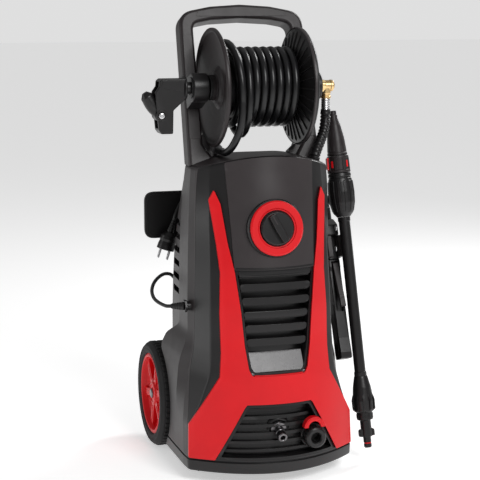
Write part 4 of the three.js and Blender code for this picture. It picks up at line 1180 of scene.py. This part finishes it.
def make_brackets():
    for side, name in SIDES:
        near, far = (-126, -96) if side < 0 else (96, 126)
        d, v = -41.4, 111.1
        lie = LEANING @ TO_SIDE
        arc = [(d + 27 * math.cos(math.radians(a)), v + 27 * math.sin(math.radians(a)))
               for a in range(96, 265, 7)]
        shape = [(-0.4, v - 30, 3), (-0.4, v + 30, 3), (d + 8, v + 26, 6), *arc, (d + 8, v - 26, 6)]
        body = plate(shape, near, far, lie, 2.4, angle=40)
        rings = []
        for at, way in ((near, -1), (far, 1)):
            spot, top = (LEANING @ Vector((x, d, v)) for x in (at, at + way * 1.6))
            rings.append(turned([[11.6, 0], [20, 0], [20, 1.6, 0.6], [13, 1.6, 0.6], [11.6, 0]],
                                along(spot, top), 64))
        bolts = []
        for k in (-1, 1):
            x = (near + far) / 2 + k * 9
            spot, top = (LEANING @ Vector((x, d + 16, z)) for z in (v + 25.6, v + 29.4))
            bolts.append(rod(spot, top, 3.6, 3.2, 6, 0.4))
        dress([body, *rings, *bolts], "reel_bearing_" + name, BLACK, "chassis", "reel_bracket_" + name)


def make_drum():
    half = REEL["half"]
    drum = turned([[0, -half], [REEL["drum"], -half], [REEL["drum"], half], [0, half]], ON_REEL, 96)
    dress(drum, "reel_core", BLACK, "reel", "reel_drum")


def make_flanges():
    inner_side = [[0, 62.3], [26, 62.3, 2], [100, 78, 4], [107, 79.4, 2], [110.5, 82, 2], [110.5, 86.4, 2],
                  [107.5, 89, 1.6], [104.5, 88, 1]]
    smooth = [*inner_side, [102.5, 84, 3], [60, 76, 6], [40, 73, 4], [34, 76, 3], [30, 80, 1.5],
              [24, 80.6, 1], [24, 88.2, 1], [0, 88.2]]
    dish = turned(mirrored_x(smooth), ON_REEL, 160)
    dress(dish, "flange_dish_left", CHARCOAL, "reel", "reel_flange_left")
    disc = turned([*inner_side, [103, 84, 2], [24, 67.4, 2], [22, 88.2, 1], [0, 88.2]], ON_REEL, 160)
    ribs = fins(ON_REEL, 30, [(26, 61.4), (30, 60.6), (100, 75.6), (104, 78.6), (100, 79.6), (30, 64.6)], 1.1,
                0.6)
    ribs += fins(ON_REEL, 30, [(23, 66), (102.4, 82), (102.4, 86), (60, 80), (23, 84)], 1.1, 0.5)
    dress([disc, *ribs], "flange_ribbed_right", BLACK, "reel", "reel_flange_right")
    rim = turned([[109, 79.6], [110.9, 80.6, 0.5], [110.9, 84, 0.5], [109, 84.6], [109, 79.6]], ON_REEL, 160)
    dress(rim, "flange_rim_band", PANEL, "reel")


def make_stubs():
    stub = [[0, 88.4], [24, 88.4], [24, 92.6, 1.5], [20, 94.5, 1], [11, 94.5]]
    right, left = [*stub, [11, 128, 1], [0, 128]], mirrored_x([*stub, [11, 137, 1], [0, 137]])
    dress(turned(right, ON_REEL, 64), "stub_right", BLACK, "reel", "reel_axle_right")
    dress(turned(left, ON_REEL, 64), "stub_left", BLACK, "reel", "reel_axle_left")


CRANK_NEAR, CRANK_FAR = -64, -30
PIVOT_X, PIVOT_Z = -186, 675
CRANK_ARM = [(-137.3, 742), (-184, 742), (-189, 738), (-190, 728), (-197, 718), (-196, 700), (-191, 648),
             (-186, 641), (-164, 641), (-163, 684), (-137.3, 707)]


def make_crank_arm():
    outline = [(x, z, 3) for x, z in reversed(CRANK_ARM)]
    arm = plate(outline, -CRANK_FAR, -CRANK_NEAR, TO_FRONT, 2.2, segments=4, angle=40)
    cut(arm, block((-210, CRANK_NEAR + 5.5, PIVOT_Z - 24), (PIVOT_X + 13, CRANK_FAR - 5.5, PIVOT_Z + 62)),
        rod((PIVOT_X, CRANK_NEAR - 5, PIVOT_Z), (PIVOT_X, CRANK_FAR + 5, PIVOT_Z), 3.9))
    bosses = []
    for y, way in ((CRANK_NEAR, -1), (CRANK_FAR, 1)):
        bosses.append(turned([[4, -0.6], [10.5, -0.6], [10.5, 1.3, 0.8], [7.4, 1.5, 0.4], [6.4, 0.6],
                              [4, 0.6], [4, -0.6]],
                             along((PIVOT_X, y, PIVOT_Z), (PIVOT_X, y + way * 3, PIVOT_Z)), 48))
    rim = [(-139.6, 738.6, 1.5), (-182, 738.6, 2), (-186.6, 727, 2), (-139.6, 716, 2)]
    bosses.append(plate(rim, -CRANK_NEAR - 0.5, -CRANK_NEAR + 0.8, TO_FRONT, 0.5))
    collar = turned([[11.2, -137.2], [23, -137.2], [24, -141, 2], [19, -143, 1], [11.2, -143],
                     [11.2, -137.2]],
                    ON_REEL, 64)
    dress([arm, *bosses, collar], "crank_lever", BLACK, "reel", "crank_arm")


def make_crank_screw():
    screw = rod((PIVOT_X, CRANK_NEAR - 2.6, PIVOT_Z), (PIVOT_X, CRANK_FAR + 2.2, PIVOT_Z), 3.3, 3.3, 32, 0.4)
    head = turned([[0, 0], [5.6, 0], [5.6, 2.2, 1.2], [3.2, 2.9, 0.4], [2.4, 1.6], [0, 1.6]],
                  along((PIVOT_X, CRANK_NEAR - 1.2, PIVOT_Z), (PIVOT_X, CRANK_NEAR - 5, PIVOT_Z)), 48)
    dress([screw, head], "crank_pivot_screw", STEEL, "reel", "crank_screw")


def make_crank_grip():
    line = smooth_line([(PIVOT_X - 4, REEL["y"], PIVOT_Z + 6), (PIVOT_X - 12, REEL["y"], PIVOT_Z + 16),
                        (PIVOT_X - 20, REEL["y"], PIVOT_Z + 29), (PIVOT_X - 28, REEL["y"], PIVOT_Z + 41.5)],
                        1.6)
    sizes = [11, 12, 12.6, 12.8, 12.6, 12.2, 11.8, 11.4]  # radii at equal steps along the grip
    rings = []
    n = len(line)
    for i, p in enumerate(line):
        step = (line[min(i + 1, n - 1)] - line[max(i - 1, 0)]).normalized()
        across = Vector((0, 1, 0))
        t = i / (n - 1) * (len(sizes) - 1)
        k = min(int(t), len(sizes) - 2)
        r = sizes[k] + (sizes[k + 1] - sizes[k]) * (t - k)
        r *= min(1, 0.45 + 3.2 * (1 - i / (n - 1)))
        rings.append(ring_at(p, across, step.cross(across), r))
    bar = tidy(loft("bar", rings))
    eye = turned(collar_of(4, 11, -11, 11, 1.2, 1.2),
                 along((PIVOT_X, REEL["y"], PIVOT_Z), (PIVOT_X, -30, PIVOT_Z)), 64)
    dress([bar, eye], "crank_handgrip", BLACK, "crank_handle", "crank_grip")


ELBOW_X, ELBOW_Y, ELBOW_Z = 141, REEL["y"], REEL["z"]


def make_elbow():
    body = turned([[0, 128.4], [10.2, 128.4], [11.2, 130, 0.6], [11.2, 136], [10.4, 137], [10.4, 148, 1],
                   [11.2, 149], [11.2, 153, 1], [6.4, 157, 1.2], [5.4, 157], [5.2, 155.4], [0, 155.4]],
                  ON_REEL, 96)
    nut = turned(collar_of(9.4, 12.6, 0, 8, 0.8, 0.8),
                 along((129.4, ELBOW_Y, ELBOW_Z), (140, ELBOW_Y, ELBOW_Z)), 6)
    down = turned([[0, 0], [9.6, 0], [9.6, 14, 1], [8.8, 15.4], [8.8, 19], [9.8, 20, 0.6], [9.8, 23.8, 0.8],
                   [0, 23.8]],
                  along((ELBOW_X, ELBOW_Y, ELBOW_Z), (ELBOW_X, ELBOW_Y, ELBOW_Z - 24)), 96)
    dress([body, nut, down], "swivel_elbow_brass", BRASS, "chassis", "swivel_elbow")


def make_ferrule():
    place = along((ELBOW_X, ELBOW_Y, ELBOW_Z - 24.3), (ELBOW_X, ELBOW_Y, ELBOW_Z - 46))
    profile = [[0, 0], [7.8, 0, 0.5]]
    for k in range(4):
        profile += [[8.4, 2.4 + 4.4 * k, 0.5], [8.4, 4.6 + 4.4 * k, 0.5], [7.8, 5.4 + 4.4 * k]]
    profile += [[8.6, 20.7, 0.5], [0, 20.7]]
    dress(turned(profile, place, 96), "crimped_ferrule", STEEL, "chassis", "feed_ferrule")


def make_bend_sleeve():
    sleeve = [(ELBOW_X, ELBOW_Y, ELBOW_Z - 45.4), (ELBOW_X, ELBOW_Y, 662), (136, -52, 638), (121, -63, 611),
              (SLEEVE_FOOT[0] + 1, SLEEVE_FOOT[1], 594), SLEEVE_FOOT]
    line = smooth_line(sleeve, 1.1)
    total = length_of(line) / MM
    rings, done = [], 0.0
    for i, p in enumerate(line):
        if i:
            done += (p - line[i - 1]).length
        step = (line[min(i + 1, len(line) - 1)] - line[max(i - 1, 0)]).normalized()
        across = step.cross(Vector((0, 1, 0))).normalized()
        ridge = 0.5 + 0.5 * math.cos(math.tau * done / 7.2)
        r = 8.5 + 1.6 * min(1, ridge * 1.7) - 0.8 * max(0, done / total - 0.85)
        if done < 5:
            r = 9.4
        rings.append(ring_at(p, across, across.cross(step), r))
    dress(tidy(loft("sleeve", rings)), "bend_sleeve_segments", BLACK, "chassis", "bend_sleeve")


for side, name in SIDES:
    make_wheel(side, name)
make_tray()
make_feet()
make_axle()
make_hoop()
make_inlays()
make_boots()
make_brackets()
make_drum()
make_flanges()
make_stubs()
make_crank_arm()
make_crank_screw()
make_crank_grip()
make_elbow()
make_ferrule()
make_bend_sleeve()


# ---------- lance, trigger gun and holder ----------
LANCE_FOOT, LANCE_TOP = (203, -135, 28), (168, -14, 676)
GUN_FOOT, GUN_TOP = (169, -90, 196), (164.5, -4, 430)
ON_LANCE = along(LANCE_FOOT, LANCE_TOP)
ON_GUN = along(GUN_FOOT, GUN_TOP)
SIDE_VIEW = Matrix(((0, 0, -1, 0), (0, 1, 0, 0), (1, 0, 0, 0), (0, 0, 0, 1)))  # local X, Y, Z to Z, Y, -X
GUN_VIEW = ON_GUN @ SIDE_VIEW
UPRIGHT = Matrix.Rotation(-math.pi / 2, 4, "X")  # local X, Y, Z to X, -Z, Y


def make_lance_base():
    core = turned([[0, 0], [6.4, 0, 0.6], [7.6, 2.2, 0.6], [7.6, 7], [6.6, 7.6], [6.6, 10.4], [7.6, 11],
                   [7.6, 20.6], [10.6, 21.6, 0.8], [10.6, 53, 0.6], [13, 54, 0.6], [15.6, 55, 1],
                   [15.6, 69, 1], [19.6, 72, 1.5], [20.6, 92, 6], [17.6, 118, 8], [13.6, 137, 2],
                   [12.6, 139.8, 0.8], [0, 139.8]], ON_LANCE, 96)
    lug = both_sides([(15.5, 22, 2), (15.5, 34, 3), (12, 36.5, 2)])
    fin = [(16, 72, 2), (22.6, 74, 2.5), (23, 92, 4), (21.6, 98, 3), (16, 112, 4), (13, 126, 2), (12, 74)]
    grip = [(14, 56.5, 1), (16.3, 57.5, 1), (16.3, 66.5, 1), (14, 67.5, 1)]
    pieces = [core, plate(lug, -5, 5, ON_LANCE, 1.2), *fins(ON_LANCE, 10, fin, 2.1, 0.9)]
    pieces += fins(ON_LANCE, 12, grip, 1.5, 0.5, 0.26)
    dress(pieces, "lance_bayonet_base", BLACK, "lance", "lance_base")
    seal = turned([[5.4, 7.6], [7.3, 8.2, 0.9], [7.3, 9.9, 0.9], [5.4, 10.4], [5.4, 7.6]], ON_LANCE, 64)
    dress(seal, "lance_seal_ring", RED, "lance")


def make_lance_tube():
    tube = turned([[0, 140], [12.2, 140], [12.2, 147, 0.8], [11, 148.4], [11, 441], [12.2, 442.2],
                   [12.2, 449.8, 0.6], [0, 449.8]], ON_LANCE, 96)
    seams = fins(ON_LANCE, 2, box(10.4, 150, 11.35, 440), 0.5, 0.2, math.pi / 2)
    dress([tube, *seams], "lance_pipe_cover", BLACK, "lance", "lance_tube")


def make_lance_grip():
    grip = [[0, 450], [13, 450, 0.8], [14.4, 452], [19.6, 458, 5], [24, 478, 10], [24.8, 498, 14],
            [23.6, 518, 10], [22.6, 524, 0.8], [21.6, 525], [21.6, 528], [22.6, 529, 0.8], [21.8, 534.8, 0.6],
            [0, 534.8]]
    bulb = turned(grip, ON_LANCE, 120)
    shape = [(17, 459, 2), (21, 460.5, 3), (25, 478, 12), (25.9, 498, 16), (24.6, 520, 3), (17, 521, 2)]
    staves = fins(ON_LANCE, 12, shape, 3.1, 1.3, steps=6)
    dress([bulb, *staves], "lance_grooved_bulb", BLACK, "lance", "lance_grip")


def make_lance_head():
    ring = turned([[0, 535.4], [20.8, 535.4, 0.8], [22.4, 537, 0.8], [22.4, 540.4, 0.8], [20.6, 541.6],
                   [20.6, 563.4], [21.4, 564.6, 0.6], [21.2, 568.6, 0.8], [0, 569.6]], ON_LANCE, 120)
    bars = fins(ON_LANCE, 8, [(19, 541, 1), (22.2, 541, 1), (21.6, 564.4, 1), (19, 564.4, 1)], 3.2, 0.7, 0.2)
    dress([ring, *bars], "spray_selector_ring", CHARCOAL, "lance_head", "lance_selector")
    mark = [(20, 546, 1), (21.3, 546, 1), (21.1, 559, 1), (20, 559, 1)]
    marks = fins(ON_LANCE, 4, mark, 2.2, 0.4, 0.2 + math.pi / 8)
    tab = [(19, 540, 1), (24.6, 545, 2.5), (23.6, 566, 2), (19, 567, 1)]
    marks.append(plate(tab, -4.5, 4.5, ON_LANCE @ Matrix.Rotation(math.pi, 4, "Y"), 1))
    dress(marks, "selector_marks", RED, "lance_head")
    cone = turned([[0, 569.8], [19.6, 569.8, 0.8], [19.4, 574, 0.5], [18.6, 575], [18.2, 584, 2],
                   [17, 600, 8], [12, 628, 6], [8.4, 640, 2], [7.6, 642], [7.6, 648, 0.6], [6.6, 649],
                   [6.4, 656.6, 0.8], [3.4, 657], [2.6, 653], [0, 652]],
                  ON_LANCE, 120)
    flute = [(16, 577, 1), (18.9, 577, 1), (16.4, 604, 3), (12.9, 624, 1), (12, 600, 1)]
    flutes = fins(ON_LANCE, 14, flute, 1.2, 0.6)
    dress([cone, *flutes], "spray_nozzle_cone", CHARCOAL, "lance_head", "lance_nozzle")


GUN_HALF = 11.5
GUN_SIDE = [(-16, 0, 4), (15, 0, 4), (16, 12, 4), (14, 40, 12), (15, 120, 20), (15, 172, 4), (17, 180, 4),
            (17, 193, 3), (15, 196, 3), (16, 240.4), (30, 241, 2), (30, 262, 6), (12, 276, 6), (-12, 276, 6),
            (-22, 262, 6), (-22, 241, 2), (-16, 240.4), (-16, 60, 20), (-17.5, 14, 8)]
GUN_TRIGGER = [(8, 188), (14, 190, 2), (20, 187, 3), (22, 174, 4), (27, 150, 12), (34, 112, 5),
               (35.5, 100, 2), (31, 98, 2), (25, 116, 8), (17.5, 148, 12), (10, 178, 3)]


def make_gun_shell():
    shell = plate(GUN_SIDE, -GUN_HALF, GUN_HALF, GUN_VIEW, 3.2, segments=4, angle=42)
    cut(shell, block((-7, 92, 5), (7, 191, 60), 0, ON_GUN))
    pieces = [shell]
    for k in range(9):
        y = 22 + 8.2 * k
        strip = [(-18.1, y, 0.8), (-15, y, 0.8), (-15, y + 4.6, 0.8), (-17.9, y + 4.6, 0.8)]
        pieces.append(plate(strip, -8, 8, GUN_VIEW, 0.9))
    for x in (-1, 1):
        panel = [(-10, 16, 4), (8, 16, 4), (8, 108, 5), (-10, 108, 5)]
        pieces.append(plate(panel, *sorted((x * 11.2, x * 12.1)), GUN_VIEW, 0.5))
        for z, y in ((-9, 130), (-10, 250), (16, 252)):
            spot, top = (ON_GUN @ Vector((x * reach, y, z)) for reach in (11.2, 12.3))
            pieces.append(turned([[0, 0], [3.4, 0], [3.4, 1.1, 0.4], [1.6, 1.1, 0.2], [1.4, 0.4], [0, 0.4]],
                                 along(spot, top), 32))
    barrel = turned([[8, 272], [11.6, 272], [11.6, 300, 0.8], [10.8, 301], [10.8, 306], [12.4, 307, 0.8],
                     [12.4, 323, 1], [11.2, 325, 0.6], [8.2, 325, 0.5], [8, 323], [8, 272]], ON_GUN, 80)
    rim = [(11.4, 309, 0.6), (13.1, 309.6, 0.6), (13.1, 320.6, 0.6), (11.4, 321.4, 0.6)]
    rims = fins(ON_GUN, 14, rim, 1.2, 0.4)
    floor = turned([[0, 311], [8.3, 311], [8.3, 313.4, 0.4], [0, 313.4]], ON_GUN, 48)
    dress([*pieces, barrel, floor, *rims], "gun_shell", BLACK, "gun", "gun_body")


def make_trigger():
    blade = plate(rounded(GUN_TRIGGER, steps=5), -5.5, 5.5, GUN_VIEW, 1.8, segments=4, angle=42)
    teeth = []
    for k in range(2):
        x, y, far = 29 - 0.15 * k, 112 + 7 * k, 34 - 1.35 * k
        tooth = [(x + 0.6, y, 1), (far + 0.6, y, 1), (far, y + 3.6, 1), (x, y + 3.6, 1)]
        teeth.append(plate(tooth, -4.8, 4.8, GUN_VIEW, 0.6))
    dress([blade, *teeth], "trigger_lever", CHARCOAL, "trigger", "gun_trigger")


def gun_way():
    """The room that the gun needs as it lifts."""
    return [block((-13, 137, -18.5), (13, 280, 19), 0, ON_GUN),
            block((-13, 240.2, -24), (13, 340, 33), 0, ON_GUN)]


def make_holder():
    lie = ON_LANCE @ UPRIGHT
    channel = [(-30, 24, 5), (25, 24, 5), (25, -18, 3), (12.6, -18, 2), (12.6, 13, 6), (-14, 13, 6),
               (-14, -18, 2), (-30, -18, 3)]
    clip = plate(rounded(channel, steps=5), 374, 447, lie, 1.8, segments=4, angle=42)
    loop = block((-16.5, 197, -22), (16.5, 240, 34), 2.4, ON_GUN)
    base = plate(box(-84, 402, 8, 462, 6), 139.6, 154, TO_SIDE, 2.2)
    whole = cut(joined("holder", [clip, base]), *gun_way(),
                rod(ON_LANCE @ Vector((0, 300, 0)), ON_LANCE @ Vector((0, 500, 0)), 12.4))
    cut(loop, *gun_way(), block((-7, 187, 10), (7, 300, 37), 0, ON_GUN))
    screws = []
    for y, z in ((-74, 412), (-74, 452), (-2, 452)):
        screws.append(turned([[0, 0], [5, 0], [5, 1.4, 0.6], [2.4, 2, 0.3], [2, 1], [0, 1]],
                             along((154, y, z), (157, y, z)), 40))
    dress([whole, loop], "side_holder", CHARCOAL, "chassis", "accessory_holder")
    dress(screws, "holder_screws", STEEL, "chassis")


# ---------- cable side ----------
def make_gland():
    x, y, z = GLAND
    nut = turned(collar_of(8, 12.4, 0, 4.6, 0.8, 0.8), along((x - 3.4, y, z), (x - 9, y, z)), 6)
    collar = turned([[3.6, -12], [7.9, -12], [7.9, -1, 0.3], [10.8, -1, 0.6], [10.8, 1, 0.5], [3.6, 1],
                     [3.6, -12]],
                    along((x - 3.4, y, z), (x - 9, y, z)), 64)
    relief = [[3.6, 0], [8, 0, 0.8]]
    for k in range(5):
        at = 2.2 + 4.6 * k
        r = 7.8 - 0.62 * k
        relief += [[r, at, 0.4], [r, at + 2.6, 0.4], [r - 0.9, at + 3.2], [r - 0.9, at + 4.2]]
    relief += [[4.9, 25.4, 0.5], [3.6, 25.6], [3.6, 0]]
    boot = turned(relief, along((x - 7, y + 0.5, z), (x - 30, y + 12, z - 1)), 64)
    dress([nut, collar, boot], "cable_inlet_gland", BLACK, "chassis", "cable_gland")


SADDLE_R, SADDLE_WALL = 29, 4
PLATE_NEAR, PLATE_FAR = -159.6, -166  # the end plates' faces in TO_FRONT, whose Z runs forwards
HOOKS = (  # middle height, which way it bulges, the body's back there, the end plate's box and its corners
    (HANK["top"], 1, 88, (-167, 410, 20, 505), 20, "cable_hook_upper"),
    (HANK["bottom"], -1, 121, (-98, 262, -14, 322), 13, "cable_hook_lower"),
)


def make_hooks():
    x, reach, wall = HANK["x"], SADDLE_R, SADDLE_WALL
    for z, up, body, (x0, z0, x1, z1), corner, node in HOOKS:
        outer, inner = ([(x + r * math.cos(math.pi * i / n), z + up * r * math.sin(math.pi * i / n))
                         for i in range(n + 1)] for r, n in ((reach, 28), (reach - wall, 20)))
        outer = [*outer[::up], (x - up * reach, z - up * 12, 2), (x + up * reach, z - up * 12, 2)]
        inner = [*inner, (x - reach + wall, z - up * 8, 1), (x + reach - wall, z - up * 8, 1)]
        saddle = plate(outer, PLATE_NEAR - 0.2, -body, TO_FRONT, 0.8, holes=[inner])
        ends = sorted((z - 10 * up, z + 26 * up))
        web = plate(box(x - 2, ends[0], x + 2, ends[1]), PLATE_NEAR, -body, TO_FRONT, 0.4)
        edges = [rounded(box(x0 + d, z0 + d, x1 - d, z1 - d, r), steps=7)
                 for d, r in ((0, corner), (4.5, corner), (6.5, corner - 2))]
        back = plate(edges[0], PLATE_FAR, PLATE_NEAR, TO_FRONT, 2, segments=4)
        front_lip = plate(edges[1], PLATE_NEAR - 0.2, PLATE_NEAR + 0.7, TO_FRONT, 0.3, holes=[edges[2]])
        back_lip = plate(edges[1], PLATE_FAR - 0.9, PLATE_FAR + 0.2, TO_FRONT, 0.3, holes=[edges[2]])
        dress([saddle, web, back, front_lip, back_lip], node + "_plate", BLACK, "chassis", node)


# ---------- what shows of the inside ----------
def make_motor():
    ribs = [[0, 212], [57, 212, 2]]
    for k in range(20):
        z = 216 + 7.6 * k
        ribs += [[58, z, 0.6], [58, z + 3.4, 0.6], [54, z + 4], [54, z + 7]]
    ribs += [[57, 371, 2], [0, 371]]
    place = tilted(math.pi / 2, "X", (0, -15, 0))
    body = turned(ribs, place, 72)
    hood = turned([[0, 371], [41, 371, 1], [39, 388, 3], [0, 390]], place, 72)
    dress([body, hood], "motor_housing", CAST, "chassis", "motor")


def make_capacitor():
    place = tilted(math.pi / 2, "X", (90, -8, 0))
    can = turned([[0, 252], [20, 252, 2], [20, 334, 2], [17, 336, 1], [0, 336]], place, 64)
    dress(can, "capacitor_can", PANEL, "chassis", "capacitor")


INSIDE = {"pump": CAST, "rotary_switch": BLACK, "inlet_pipe": BLACK, "pump_hose": HOSE}


def paint_frame_nodes():
    """The pieces hidden in the body keep their CAD solids and get their materials."""
    for name, material in INSIDE.items():
        node = frame["nodes"][name]
        node.data.materials.clear()
        node.data.materials.append(material)


make_lance_base()
make_lance_tube()
make_lance_grip()
make_lance_head()
make_gun_shell()
make_trigger()
make_holder()
make_gland()
make_hooks()
make_motor()
make_capacitor()
paint_frame_nodes()
